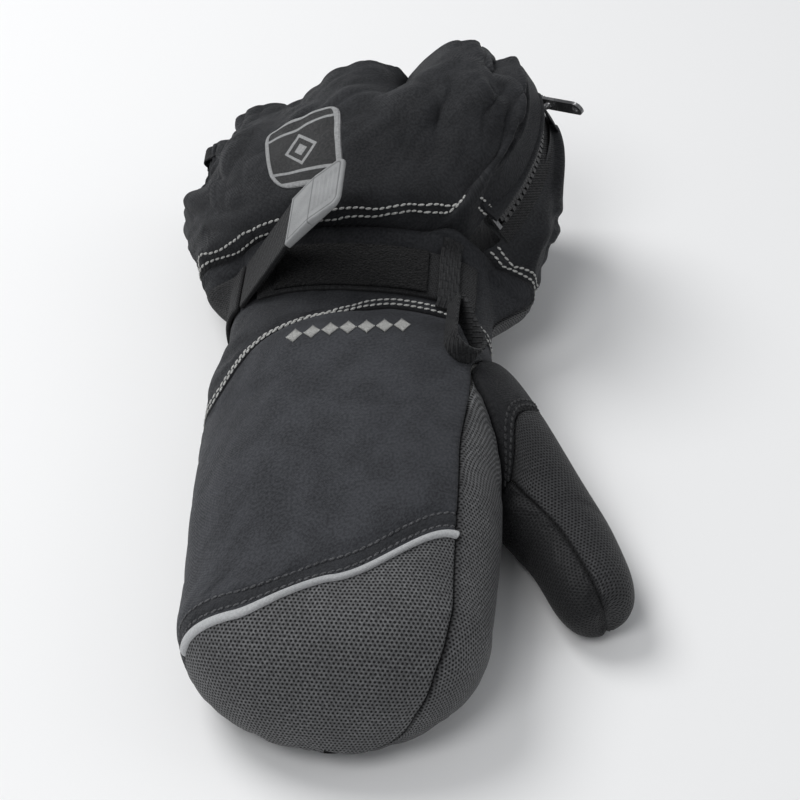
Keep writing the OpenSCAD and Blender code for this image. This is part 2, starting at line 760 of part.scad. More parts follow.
tab_side = 0.5;
tab_corner_r = 4;
tab_crown = 1;
tab_end_t = 1.6;
tab_start = 1.5;
rib_w = 1.2;
rib_h = 0.5;
module tab_outline() {
  half = strap_width / 2 + tab_side;
  translate([tab_start, -half]) square([tab_length - tab_start - tab_corner_r, 2 * half]);
  translate([tab_start, tab_corner_r - half]) square([tab_length - tab_start, 2 * (half - tab_corner_r)]);
  for (side = [-1, 1])
    translate([tab_length - tab_corner_r, side * (half - tab_corner_r)]) circle(r = tab_corner_r, $fn = 32);
}

module strap_tab() {
  half = strap_width / 2 + tab_side;
  middle = tab_length / 2;
  slope = atan2(tab_t / 2 + tab_crown - tab_end_t / 2, tab_length - middle);
  rib_pitch = (tab_length - middle - 3) / tab_ribs;
  color(tab_grey) tab_frame() {
    difference() {
      intersection() {
        translate([0, 0, -tab_t]) linear_extrude(3 * tab_t) tab_outline();
        rotate([90, 0, 0]) linear_extrude(2 * half, center = true) polygon([
          [0, -tab_t / 2], [tab_length, -tab_end_t / 2], [tab_length, tab_end_t / 2],
          [middle, tab_t / 2 + tab_crown], [0, tab_t / 2]
        ]);
      }
      translate([-1, -strap_width / 2, -tongue_t / 2]) cube([tab_pocket + 1, strap_width, tongue_t]);
    }
    translate([middle, 0, tab_t / 2 + tab_crown]) rotate([0, slope, 0])
      for (i = [1:tab_ribs])
        translate([i * rib_pitch - rib_w / 2, -strap_width * 0.34, -0.05])
          cube([rib_w, strap_width * 0.68, rib_h + 0.05]);
  }
}

keeper_turn = 55;
keeper_sewn = 4;
keeper_half_turn = keeper_width / 2 / wrist_turn_mm;
module strap_keeper() {
  near = strap_near - keeper_sewn;
  far = strap_far + keeper_sewn;
  rise = 2.5;
  foot = 0.4;
  color(charcoal)
    band(
      [[near, -keeper_t - foot], [near + rise, -keeper_out], [far - rise, -keeper_out], [far, -keeper_t - foot]],
      [[near, -foot], [near + rise + 0.4, -keeper_in], [far - rise - 0.4, -keeper_in], [far, -foot]],
      function (y) keeper_turn - keeper_half_turn, function (y) keeper_turn + keeper_half_turn, 4
    );
}

// Hang loop: webbing folded to a drop, sewn at its narrow end beside the keeper
loop_t = 1.2;
loop_root_r = 0.5;
loop_yaw = -78;
loop_pitch = 5;
loop_roll = -32;
loop_raise = 4;
loop_root = skin_point(keeper_turn, strap_near - keeper_sewn - 2, -loop_raise);

// Strip bent to a drop: two straight legs from a sewn root to a round end
module drop_strip(length, big, small, thick, width) {
  lean = asin((big - small) / length);
  leg = length * cos(lean);
  cylinder(r = small, h = width, $fn = 24);
  for (side = [0, 1])
    mirror([0, side, 0]) rotate([0, 0, lean]) translate([0, small - thick, 0]) cube([leg, thick, width]);
  translate([length, 0, 0]) rotate([0, 0, -90 - lean])
    rotate_extrude(angle = 180 + 2 * lean, $fn = 64) translate([big - thick, 0]) square([thick, width]);
}

module hang_loop() {
  big = loop_breadth / 2;
  color(charcoal)
    translate(loop_root) rotate([0, 0, loop_yaw]) rotate([0, loop_pitch, 0]) rotate([loop_roll, 0, 0])
      drop_strip(loop_length - big, big, loop_root_r + loop_t, loop_t, loop_width);
}

// Zip: its frame has X out of the gauntlet, Y along it and Z across the tapes
function zip_angle(y) = asin((y - zip_middle) / zip_radius);
zip_first = zip_angle(zip_start);
zip_last = zip_angle(zip_end);
tape_r = zip_radius - tape_in;
tooth_r = tape_r - tape_t / 2;
tooth_base = 2.8;
tooth_reach = 1;
tooth_grip = 0.9;
tape_play = 0.04;
stop_length = 1.6;
slider_play = 0.35;
slider_wall = 1;
mm_turn = 180 / (PI * tooth_r);
slider_angle = zip_last - (stop_length + 1 + slider_length / 2) * mm_turn;
first_tooth_angle = zip_first + 4 * mm_turn;
last_tooth_angle = slider_angle - 3 * mm_turn;
tooth_count = floor((last_tooth_angle - first_tooth_angle) / (tooth_pitch * mm_turn));

module zip_frame(angle = 0) {
  translate(zip_centre) rotate([0, -zip_lean, 0]) rotate([0, 0, angle]) children();
}

module zip_tape(side) {
  low = side > 0 ? tooth_base - tooth_grip : -tape_width;
  zip_frame(zip_first) rotate_extrude(angle = zip_last - zip_first, $fn = 96)
    translate([tape_r - tape_t, low]) square([tape_t, tape_width - tooth_base + tooth_grip]);
}

module tooth() {
  neck = (tooth_pitch - 2 * tooth_gap) * 0.42;
  head = (tooth_pitch - 2 * tooth_gap) * 0.58;
  foot = tooth_pitch * 0.62;
  difference() {
    translate([tooth_r - tooth_h / 2, 0, 0]) rotate([0, 90, 0]) linear_extrude(tooth_h) polygon([
      [-tooth_base, -foot / 2], [-tooth_reach - 0.2, -foot / 2], [-tooth_reach, -neck / 2],
      [-0.25, -neck / 2], [0, -head / 2], [tooth_reach * 0.6, -head / 2], [tooth_reach, -head / 3],
      [tooth_reach, head / 3], [tooth_reach * 0.6, head / 2], [0, head / 2], [-0.25, neck / 2],
      [-tooth_reach, neck / 2], [-tooth_reach - 0.2, foot / 2], [-tooth_base, foot / 2]
    ]);
    translate([tape_r - tape_t - tape_play, -foot, tooth_base - tooth_grip])
      cube([tape_t + 2 * tape_play, 2 * foot, tooth_grip + 1]);
  }
}

module zip_teeth(side) {
  shift = side > 0 ? 0 : tooth_pitch / 2;
  color(metal_grey)
    for (i = [0:tooth_count - 1])
      zip_frame(first_tooth_angle + (i * tooth_pitch + shift) * mm_turn)
        mirror([0, 0, side > 0 ? 0 : 1]) tooth();
}

module zip_tape_back() {
  color(charcoal) zip_tape(1);
}

module zip_tape_under() {
  color(charcoal) zip_tape(-1);
}

module zip_teeth_back() {
  zip_teeth(1);
}

module zip_teeth_under() {
  zip_teeth(-1);
}

// One stop across both tapes at the lower end and one on each tape at the mouth
module zip_stops() {
  stop_t = tooth_h * 0.8;
  color(metal_grey) {
    zip_frame(zip_first + 1.5 * mm_turn) difference() {
      translate([tooth_r - stop_t / 2, -stop_length / 2, -tooth_base])
        cube([stop_t, stop_length, 2 * tooth_base]);
      for (side = [-1, 1])
        translate([tape_r - tape_t - tape_play, -stop_length, side * tooth_base - tooth_grip])
          cube([tape_t + 2 * tape_play, 2 * stop_length, 2 * tooth_grip]);
    }
    for (side = [-1, 1])
      zip_frame(zip_last - stop_length / 2 * mm_turn)
          translate([tape_r + tape_play, -stop_length / 2, side * (tooth_base + 0.4) - 1])
          cube([1, stop_length, 2]);
  }
}

overlap = 0.01;
bail_h = 3.4;
bail_length = 5.4;
bail_t = 1.8;
pivot_h = 2;
pivot_play = 0.1;
slider_in = tooth_r - tooth_h / 2 - slider_play;
slider_out = tooth_r + tooth_h / 2 + slider_play;
pivot_r = slider_out + slider_wall + pivot_h;
rail_w = 1;

module slider_outline() {
  half = slider_width / 2;
  rear = half * 0.86;
  end = slider_length / 2;
  polygon([
    [-rear, 1 - end], [1.4 - rear, -end], [rear - 1.4, -end], [rear, 1 - end],
    [half, end - 3], [half - 1, end - 0.8], [1, end], [-1, end], [1 - half, end - 0.8], [-half, end - 3]
  ]);
}

module slider_plate(radius) {
  translate([radius, 0, 0]) rotate([0, 90, 0]) linear_extrude(slider_wall) slider_outline();
}

module zip_slider() {
  half = slider_width / 2 * 0.86;
  rail_length = slider_length - 2.6;
  color(metal_grey) zip_frame(slider_angle) {
    slider_plate(slider_in - slider_wall);
    slider_plate(slider_out);
    for (side = [-1, 1]) {
      translate([slider_in - overlap, -rail_length / 2 - 0.2, side * (half - rail_w / 2) - rail_w / 2])
        cube([tape_r - tape_t - slider_play - slider_in + overlap, rail_length, rail_w]);
      translate([tape_r + slider_play, -rail_length / 2 - 0.2, side * (half - rail_w / 2) - rail_w / 2])
        cube([slider_out - tape_r - slider_play + overlap, rail_length, rail_w]);
    }
    translate([slider_in - overlap, 0, 0]) rotate([0, 90, 0]) linear_extrude(slider_out - slider_in + 2 * overlap)
      polygon([[-0.9, slider_length / 2 - 1.6], [0, slider_length / 2 - 4.4], [0.9, slider_length / 2 - 1.6]]);
    difference() {
      translate([slider_out + slider_wall - overlap, -bail_length / 2, -bail_t / 2])
        cube([bail_h, bail_length, bail_t]);
      translate([pivot_r, 0, 0]) cylinder(r = pivot_d / 2 + pivot_play, h = bail_t + 1, center = true, $fn = 32);
    }
  }
}

// Puller: a plate with two prongs and a bar that turns in the slider's bail
prong_r = pivot_d / 2 + 0.5;
prong_gap = 0.2;
module zip_puller() {
  inner = bail_t / 2 + prong_gap;
  half = puller_width / 2;
  color(metal_grey)
    zip_frame(slider_angle) translate([pivot_r, 0, 0]) rotate([0, 0, puller_lift - 90]) {
      cylinder(d = pivot_d, h = puller_width - 0.4, center = true, $fn = 32);
      for (side = [-1, 1])
        translate([0, 0, side * (half + inner) / 2])
          cylinder(r = prong_r, h = half - inner, center = true, $fn = 32);
      rotate([90, 0, 0]) linear_extrude(pivot_d, center = true) difference() {
        union() {
          translate([0, -half]) square([puller_length - half, puller_width]);
          translate([puller_length - half, 0]) circle(r = half, $fn = 48);
        }
        translate([-1, -inner]) square([bail_h + 2.4, 2 * inner]);
        translate([puller_length - half - 0.4, 0]) circle(r = eye_r, $fn = 32);
      }
    }
}

// Fold of the back's fabric that stands over the zip, with a rolled edge beside the puller's way
flap_reach = 12.4;
flap_roll_r = 1.35;
flap_t = 1;
module zip_flap() {
  edge = puller_width / 2 + 0.5 + flap_roll_r;
  roll_at = slider_out + slider_wall + 0.4 + flap_roll_r;
  sewn = zip_radius + 0.1;
  shoulder = edge + 4;
  color(charcoal)
    zip_frame(zip_first) rotate_extrude(angle = zip_angle(hem_start - 0.5) - zip_first, $fn = 96) {
      translate([roll_at, edge]) circle(r = flap_roll_r, $fn = 20);
      polygon([
        [roll_at - 0.8, edge], [sewn, shoulder], [sewn, flap_reach], [sewn + flap_t, flap_reach],
        [sewn + flap_t, shoulder + 0.4], [roll_at + 0.8, edge]
      ]);
    }
}

// Pleated fabric behind the zip, from one edge of the lining's slot to the other
module zip_gusset() {
  gusset_t = 0.5;
  edge = tape_width - 0.1;
  pleat = 7;
  shelf = 1.8;
  top = zip_radius - cuff_lining_in;
  path = [
    [top, -edge], [top - shelf, 3.4 - edge], [top - pleat, 0], [top - shelf, edge - 3.4], [top, edge]
  ];
  under = [for (i = [len(path) - 1:-1:0]) path[i] - [gusset_t, 0]];
  color(lining_grey)
    zip_frame(zip_first) rotate_extrude(angle = zip_angle(hem_start - 2) - zip_first, $fn = 96)
      polygon(concat(path, under));
}

// Badge on the back of the gauntlet, with rounded corners
badge_turn = 107;
badge_y = (gauntlet_seam + mouth_end) / 2 - 17;
badge_turn_mm = 1.15;
module badge() {
  corner = 6;
  rows = [for (v = [-0.99, -0.95, -0.85, -0.5, 0, 0.5, 0.85, 0.95, 0.99]) v];
  function half_turn(y) =
    badge_width / 2 / badge_turn_mm * pow(1 - pow(abs(y - badge_y) * 2 / badge_height, corner), 1 / corner);
  function grid(depth) = [
    for (v = rows)
      let (y = badge_y + v * badge_height / 2)
      [for (a = [-1:0.25:1]) skin_point(badge_turn - a * half_turn(y), y, depth)]
  ];
  color(tab_grey) sheet(grid(-0.1 - badge_t), grid(-0.1));
}

back_panel();
tip_panel();
side_gusset();
palm_panel();
wrist_yoke();
wrist_under();
thumb_gore();
thumb_grip_upper();
thumb_grip_lower();
gauntlet_back();
gauntlet_under();
hem_casing();
hem_elastic();
piping();
wadding();
membrane_insert();
hand_lining();
cuff_lining();
wrist_elastic();
wrist_belt();
loop_pile();
strap_anchor();
strap_tongue();
hook_patch();
strap_tab();
strap_keeper();
hang_loop();
zip_tape_back();
zip_tape_under();
zip_teeth_back();
zip_teeth_under();
zip_stops();
zip_slider();
zip_puller();
zip_flap();
zip_gusset();
badge();
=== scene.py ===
# %% [markdown]
# # A padded ski mitten, dressed
#
# The frame is a right-hand ski mitten with a gauntlet cuff, lying on its palm. Its construction
# comes packed: every shell, strap, tooth and slider at its real size. This lesson dresses it.
# It cuts each fabric panel, lets a cloth simulation fill it, sews the seams and weaves the
# finishes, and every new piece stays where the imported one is.
#
# Lengths in the formulas are in millimetres, as on a sewing pattern. `MM` turns them into
# Blender's metres at the moment a vertex is placed.

# %% Loading the frame
import math

import bmesh
import bpy
from mathutils import Matrix, Vector, noise
from mathutils.bvhtree import BVHTree


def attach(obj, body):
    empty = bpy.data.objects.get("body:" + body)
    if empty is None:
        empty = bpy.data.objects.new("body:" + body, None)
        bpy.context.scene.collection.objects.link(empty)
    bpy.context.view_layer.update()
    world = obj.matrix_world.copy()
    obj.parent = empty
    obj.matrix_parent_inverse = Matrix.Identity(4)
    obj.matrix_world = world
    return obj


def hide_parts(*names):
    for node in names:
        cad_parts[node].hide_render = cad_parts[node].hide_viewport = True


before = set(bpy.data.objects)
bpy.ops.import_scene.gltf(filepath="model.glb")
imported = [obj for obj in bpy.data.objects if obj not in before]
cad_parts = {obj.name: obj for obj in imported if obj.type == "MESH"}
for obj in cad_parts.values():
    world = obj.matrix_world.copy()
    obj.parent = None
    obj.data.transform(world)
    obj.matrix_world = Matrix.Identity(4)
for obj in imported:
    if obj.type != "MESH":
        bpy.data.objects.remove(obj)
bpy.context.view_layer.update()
MM = 0.001

# %% [markdown]
# ## Camera
#
# The mitten is seen from above its fingertips, half-way between a plan and an end view, through
# a long lens. A camera can be turned with Euler angles, but it is easier to say where it looks:
# `to_track_quat` points its -Z axis along a direction and keeps Y up.

# %% Camera
LOOK_AT = Vector((14, 51, 36)) * MM
CAMERA_DISTANCE = 0.750
CAMERA_TURN = math.radians(4)
CAMERA_RISE = math.radians(45)
CAMERA_LENS = 92.9

towards_camera = Vector((
    math.sin(CAMERA_TURN) * math.cos(CAMERA_RISE),
    -math.cos(CAMERA_TURN) * math.cos(CAMERA_RISE),
    math.sin(CAMERA_RISE),
))
camera = bpy.data.objects.new("camera", bpy.data.cameras.new("camera"))
camera.data.lens = CAMERA_LENS
camera.data.clip_start = 0.05
camera.location = LOOK_AT + CAMERA_DISTANCE * towards_camera
camera.rotation_euler = (-towards_camera).to_track_quat("-Z", "Y").to_euler()
bpy.context.collection.objects.link(camera)
bpy.context.scene.camera = camera

# %% [markdown]
# ## Light and floor
#
# Black cloth shows its weave only in broad light, so the lamps are large and the world adds a
# plain fill. One large lamp stands behind the mitten on the left, and throws the soft shadow
# to the right. The floor is a pale sheet whose own colour, and not more light, keeps it pale.


# %% Light and floor
def area_lamp(name, place, size, watts, aim=LOOK_AT):
    lamp = bpy.data.objects.new(name, bpy.data.lights.new(name, "AREA"))
    lamp.data.shape = "DISK"
    lamp.data.size = size
    lamp.data.energy = watts
    lamp.location = place
    lamp.rotation_euler = (Vector(place) - aim).to_track_quat("Z", "Y").to_euler()
    bpy.context.collection.objects.link(lamp)
    return lamp


area_lamp("key_lamp", (-0.75, 0.55, 1.2), 0.8, 12.5)
area_lamp("front_lamp", (-0.45, -0.6, 1.3), 0.7, 6)
area_lamp("side_lamp", (1.1, 0.1, 0.8), 0.8, 1)

world = bpy.data.worlds.new("studio")
world.use_nodes = True
world.node_tree.nodes["Background"].inputs["Color"].default_value = (0.95, 0.97, 1.0, 1)
world.node_tree.nodes["Background"].inputs["Strength"].default_value = 0.36
bpy.context.scene.world = world
bpy.context.scene.view_settings.view_transform = "Standard"

FLOOR_REACH = 3.0
floor_bm = bmesh.new()
bmesh.ops.create_grid(floor_bm, x_segments=1, y_segments=1, size=FLOOR_REACH)
bmesh.ops.translate(floor_bm, verts=floor_bm.verts, vec=(0, 0, -0.0002))
floor_mesh = bpy.data.meshes.new("floor")
floor_bm.to_mesh(floor_mesh)
floor_bm.free()
floor = bpy.data.objects.new("floor", floor_mesh)
floor_finish = bpy.data.materials.new("pale_floor")
floor_finish.use_nodes = True
floor_nodes = floor_finish.node_tree.nodes
floor_noise = floor_nodes.new("ShaderNodeTexNoise")
floor_noise.inputs["Scale"].default_value = 1.3
floor_ramp = floor_nodes.new("ShaderNodeMapRange")
floor_ramp.inputs["To Min"].default_value = 0.88
floor_ramp.inputs["To Max"].default_value = 0.91
floor_finish.node_tree.links.new(floor_noise.outputs[0], floor_ramp.inputs[0])
floor_finish.node_tree.links.new(floor_ramp.outputs[0], floor_nodes["Principled BSDF"].inputs["Base Color"])
floor_nodes["Principled BSDF"].inputs["Roughness"].default_value = 0.7
floor_mesh.materials.append(floor_finish)
bpy.context.collection.objects.link(floor)

# %% [markdown]
# ## The mitten's form, as formulas
#
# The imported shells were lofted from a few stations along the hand. Repeating those formulas here
# gives each panel of fabric the same seams, at any fineness. `skin_point` takes a turn round the
# mitten in degrees (0 at the thumb, 90 on the back), a distance along it and a depth under the
# surface, and answers with a point.

# %% Stations along the hand and the gauntlet
TIP_Y = -88.0
TIP_ROUND = 38.0
CAP_Y = TIP_Y + TIP_ROUND
TIP_RISE = 14.0
STRAP_LINE = 97.5
STRAP_NEAR = STRAP_LINE - 12.5
STRAP_FAR = STRAP_LINE + 12.5
GAUNTLET_SEAM = 116.0
MOUTH_END = 196.0
GAUNTLET_FULL = (GAUNTLET_SEAM + MOUTH_END) / 2 + 2
WRIST_SEAM = 78.0
FOLD_DEPTH = 4.0

CENTRE = [(CAP_Y, -1), (0, -1.5), (STRAP_NEAR, -3), (STRAP_FAR, -3), (GAUNTLET_FULL, -6), (MOUTH_END, -6)]
HALF_WIDTH = [
    (CAP_Y, 52), (0, 54), (45, 53), (STRAP_NEAR, 49), (STRAP_FAR + 1.5, 49),
    (GAUNTLET_SEAM + 14, 0.46 * 142), (GAUNTLET_FULL, 71), (MOUTH_END, 65),
]
TOP = [
    (CAP_Y, 55), (0, 61), (45, 61.5), (STRAP_NEAR, 57), (STRAP_FAR + 1.5, 57),
    (GAUNTLET_SEAM + 6, 75), (GAUNTLET_FULL, 87), (MOUTH_END, 78),
]
BOTTOM = [(45, -1.5), (STRAP_NEAR, 6), (STRAP_FAR, 6), (GAUNTLET_FULL, -1.5), (MOUTH_END, 3)]
SQUARENESS = [(CAP_Y, 0.78), (STRAP_LINE, 0.84), (MOUTH_END, 0.88)]
TILT = [(STRAP_FAR, 0), (GAUNTLET_FULL, 0.32), (MOUTH_END, 1.2 * 0.32)]


def ease(t):
    c = min(1.0, max(0.0, t))
    return c * c * (3 - 2 * c)


def mix(a, b, t):
    return a + (b - a) * t


def signed_power(v, p):
    return math.copysign(abs(v) ** p, v)


def station_slope(stations, k):
    """Slope at one station, level at the ends and at turning points."""
    if k in (0, len(stations) - 1):
        return 0.0
    (x0, v0), (x1, v1), (x2, v2) = stations[k - 1:k + 2]
    a = (v1 - v0) / (x1 - x0)
    b = (v2 - v1) / (x2 - x1)
    return 0.0 if a * b <= 0 else 2 * a * b / (a + b)


def along(stations, y):
    """Value of a station curve at y."""
    if y <= stations[0][0]:
        return stations[0][1]
    if y >= stations[-1][0]:
        return stations[-1][1]
    k = max(i for i in range(len(stations) - 1) if stations[i][0] <= y)
    (x0, v0), (x1, v1) = stations[k:k + 2]
    h = x1 - x0
    t = (y - x0) / h
    m0 = station_slope(stations, k) * h
    m1 = station_slope(stations, k + 1) * h
    return (
        (2 * t**3 - 3 * t * t + 1) * v0 + (t**3 - 2 * t * t + t) * m0
        + (3 * t * t - 2 * t**3) * v1 + (t**3 - t * t) * m1
    )


def cos_d(degrees):
    return math.cos(math.radians(degrees))


def sin_d(degrees):
    return math.sin(math.radians(degrees))


print("top of the gauntlet", round(along(TOP, GAUNTLET_FULL), 1), "mm")


# %% The plain mitten
def lobe(turn, y):
    """The gauntlet's sides hang over the wrist, so they take their width from farther along."""
    return 14 * ease((y - WRIST_SEAM) / (STRAP_LINE - WRIST_SEAM)) * ease((0.4 - sin_d(turn)) / 0.5)


def plain_point(turn, y, depth):
    t = max(0.0, (CAP_Y - y) / TIP_ROUND)
    k = math.sqrt(max(0.0, 1 - t * t))
    half = along(HALF_WIDTH, y + lobe(turn, y)) - depth
    low = along(BOTTOM, y) + depth
    high = along(TOP, y) - depth
    e = along(SQUARENESS, y)
    c = signed_power(cos_d(turn), e)
    s = signed_power(sin_d(turn), e)
    z = mix(TIP_RISE, (low + high) / 2, k) + k * s * (high - low) / 2
    return Vector((
        along(CENTRE, y) + k * half * c,
        CAP_Y - t * (TIP_ROUND - depth) if y < CAP_Y else y,
        z + along(TILT, y) * c * (z - low),
    ))


# %% The zip's flat band
ZIP_RADIUS = 72.0
ZIP_LEAN = 32.0
ZIP_START = 122.0
ZIP_MIDDLE = GAUNTLET_FULL + 12
ZIP_END = MOUTH_END - 1
ZIP_PEAK = plain_point(10.5, ZIP_MIDDLE, 0)
ZIP_OUT = Vector((cos_d(ZIP_LEAN), 0, sin_d(ZIP_LEAN)))
ZIP_ACROSS = Vector((-sin_d(ZIP_LEAN), 0, cos_d(ZIP_LEAN)))
ZIP_CENTRE = ZIP_PEAK - ZIP_RADIUS * ZIP_OUT
SLOT_HALF = 5.4
ZIP_TURN_MM = 1.2


def zip_point(y, depth):
    reach = math.sqrt((ZIP_RADIUS - depth) ** 2 - (y - ZIP_MIDDLE) ** 2) - ZIP_RADIUS
    return ZIP_PEAK + Vector((0, y - ZIP_MIDDLE, 0)) + reach * ZIP_OUT


def zip_turn(y):
    """Turn at which the plain mitten passes nearest the zip."""
    p = zip_point(y, 0)
    e = along(SQUARENESS, y)
    tilt = along(TILT, y)
    low, high = along(BOTTOM, y), along(TOP, y)
    c = (p.x - along(CENTRE, y)) / along(HALF_WIDTH, y)
    z = (p.z + tilt * c * low) / (1 + tilt * c)
    s = (z - (low + high) / 2) * 2 / (high - low)
    return math.degrees(math.atan2(signed_power(s, 1 / e), signed_power(c, 1 / e)))


ZIP_TURNS = {}


def zip_edge(y):
    """The zip's turn at y, worked out once for each hundredth of a millimetre."""
    key = round(y, 2)
    if key not in ZIP_TURNS:
        ZIP_TURNS[key] = zip_turn(key)
    return ZIP_TURNS[key]


def turn_from_zip(turn, y):
    return (turn - zip_edge(y) + 540) % 360 - 180


def zip_share(turn, y):
    if y < ZIP_START - 12:
        return 0.0
    return ease((y - ZIP_START + 12) / 12) * (1 - ease((abs(turn_from_zip(turn, y)) - 10) / 18))


def fold(turn, y):
    """Height of the soft folds that run in from the mouth."""
    grow = ease((y - GAUNTLET_SEAM - 8) / (MOUTH_END - GAUNTLET_SEAM - 8))
    return FOLD_DEPTH * grow * cos_d(10 * (turn - 62))


def skin_point(turn, y, depth, folds=1.0):
    p = plain_point(turn, y, depth)
    share = zip_share(turn, y)
    if y >= GAUNTLET_SEAM and folds:
        f = folds * (1 - share) * fold(turn, y) * (1 if sin_d(turn) > -0.3 else 0.3)
        p += f * Vector((cos_d(turn), 0, sin_d(turn)))
    if share > 0:
        band = zip_point(y, depth) + turn_from_zip(turn, y) * ZIP_TURN_MM * ZIP_ACROSS
        p = p.lerp(band, share)
    p.z = max(p.z, depth, 0)
    return p


print("the zip bows round", [round(c, 1) for c in ZIP_CENTRE], "mm")

# %% Seams of the hand and the thumb
THUMB_NEAR, THUMB_FAR = 10.0, 74.0
THUMB_X = [(0, 46), (0.3, 61), (0.65, 78), (1, 90)]
THUMB_Y = [(0, 44), (0.3, 26), (0.65, 1), (1, -28)]
THUMB_HALF_WIDTH = [(0, 30), (0.3, 31 * 0.64), (0.65, 15.5), (1, 31 * 0.47)]
THUMB_HALF_HEIGHT = [(0, 24), (0.3, 31 * 0.58), (0.65, 15.5), (1, 31 * 0.46)]
THUMB_SEAM = [(0, 150), (0.3, 124), (0.65, 111), (1, 100)]
THUMB_CAP = 0.78
THUMB_JOIN = 0.45
THUMB_CORNER = 2.2
WEB_SPRING = 0.5
THUMB_GRIP_START = 0.24
GUSSET_APEX = THUMB_NEAR + 0.68 * (THUMB_FAR - THUMB_NEAR)


def thumb_start(depth):
    return THUMB_NEAR + THUMB_CORNER * depth


def thumb_leaf(y, depth):
    t = (y - thumb_start(depth)) / (THUMB_FAR - depth - thumb_start(depth))
    return 0.0 if t <= 0 or t >= 1 else sin_d(180 * t**1.6)


def thumb_top_turn(y, depth=0):
    return -4 + (43 - depth) * thumb_leaf(y, depth)


def thumb_low_turn(y, depth=0):
    return -4 - (36 - depth) * thumb_leaf(y, depth)


GUSSET_TOP = [
    (TIP_Y + 2, -90), (TIP_Y + 4, -20), (TIP_Y + 8, 14), (TIP_Y + 16, 35), (TIP_Y + 30, 43), (8, 47),
    (GUSSET_APEX, thumb_top_turn(GUSSET_APEX)),
]
PALM_SEAM = [
    (TIP_Y + 2, -90), (TIP_Y + 6, -62), (TIP_Y + 16, -42), (TIP_Y + 35, -32), (THUMB_NEAR - 20, -28),
    (THUMB_NEAR, -4),
]
FINGER_TURN = 190.0
FINGER_SEAM = [(TIP_Y + 2, 270), (TIP_Y + 6, 242), (TIP_Y + 16, 218), (TIP_Y + 28, 202), (CAP_Y + 5, FINGER_TURN)]
PIPING = [(0, -26), (0.5, -63), (1, -65)]


def back_turn(across, y):
    right = along(GUSSET_TOP, y) if y < GUSSET_APEX else thumb_top_turn(y)
    return mix(right, along(FINGER_SEAM, y), across)


def palm_turn(across, y):
    right = along(PALM_SEAM, y) if y < THUMB_NEAR else thumb_low_turn(y)
    return mix(360 + right, along(FINGER_SEAM, y), across)


def piping_y(across):
    return along(PIPING, across)


def wrist_y(across):
    return WRIST_SEAM - 45 * ease((across - 0.42) / 0.38)


def thumb_middle(s):
    return Vector((along(THUMB_X, s), along(THUMB_Y, s), along(THUMB_HALF_HEIGHT, s) - 0.8))


def free_thumb(ring, s, depth):
    """The thumb past the web that joins it to the hand."""
    t = max(0.0, (s - THUMB_CAP) / (1 - THUMB_CAP))
    k = math.sqrt(max(0.0, 1 - t * t))
    sd = s if s < THUMB_CAP else THUMB_CAP + (s - THUMB_CAP) * (1 - depth / 22)
    ahead = thumb_middle(min(1, sd + 0.05)) - thumb_middle(sd - 0.05)
    side = Vector((-ahead.y, ahead.x, 0)).normalized()
    p = thumb_middle(sd) + k * (along(THUMB_HALF_WIDTH, sd) - depth) * cos_d(ring) * side
    p.z += k * (along(THUMB_HALF_HEIGHT, sd) - depth) * sin_d(ring)
    return p


def thumb_web(ring, t, depth):
    """The web leaves the hand's seam square to the hand and runs into the free thumb."""
    y = mix(thumb_start(depth), THUMB_FAR - depth, (1 + cos_d(ring)) / 2)
    turn = thumb_top_turn(y, depth) if sin_d(ring) >= 0 else thumb_low_turn(y, depth)
    start, end = skin_point(turn, y, depth), free_thumb(ring, THUMB_JOIN, depth)
    reach = (end - start).length
    leave = WEB_SPRING * reach * Vector((cos_d(turn), 0, sin_d(turn)))
    arrive = reach * (free_thumb(ring, THUMB_JOIN + 0.02, depth) - end).normalized()
    return (
        (2 * t**3 - 3 * t * t + 1) * start + (t**3 - 2 * t * t + t) * leave
        + (3 * t * t - 2 * t**3) * end + (t**3 - t * t) * arrive
    )


def thumb_point(ring, s, depth=0):
    """Point of the thumb: s runs from 0 at its seam to 1 at its tip, ring turns round it."""
    p = free_thumb(ring, s, depth) if s >= THUMB_JOIN else thumb_web(ring, s / THUMB_JOIN, depth)
    p.z = max(p.z, depth)
    return p


print("the thumb's tip is at", [round(c) for c in thumb_point(0, 1)], "mm")

# %% [markdown]
# ## Cutting a panel
#
# A mitten's shell is sewn from flat panels. Where two meet, both edges turn in, so the seam is a
# soft valley and not a line. A panel could be one big subdivided face pulled into place by hand.
# Here `bmesh.ops.create_grid` makes the cloth, and each vertex is carried onto the form. The
# grid's rows crowd towards its borders, where the edge rolls in, and the cut remembers how far
# each vertex lies from every border. Stitches and shading use that later.


# %% A cut panel and its distances
def crowd(t, amount):
    """Moves evenly spaced shares towards both ends."""
    return t - amount * math.sin(2 * math.pi * t) / (2 * math.pi)


def running_length(points):
    total = [0.0]
    for before, after in zip(points, points[1:]):
        total.append(total[-1] + (after - before).length)
    return total


def rolled_in(distance, radius):
    """How deep an edge that turns in on a round of this radius lies at a distance from its end."""
    if distance >= radius:
        return 0.0
    return radius - math.sqrt(radius**2 - (radius - distance) ** 2)


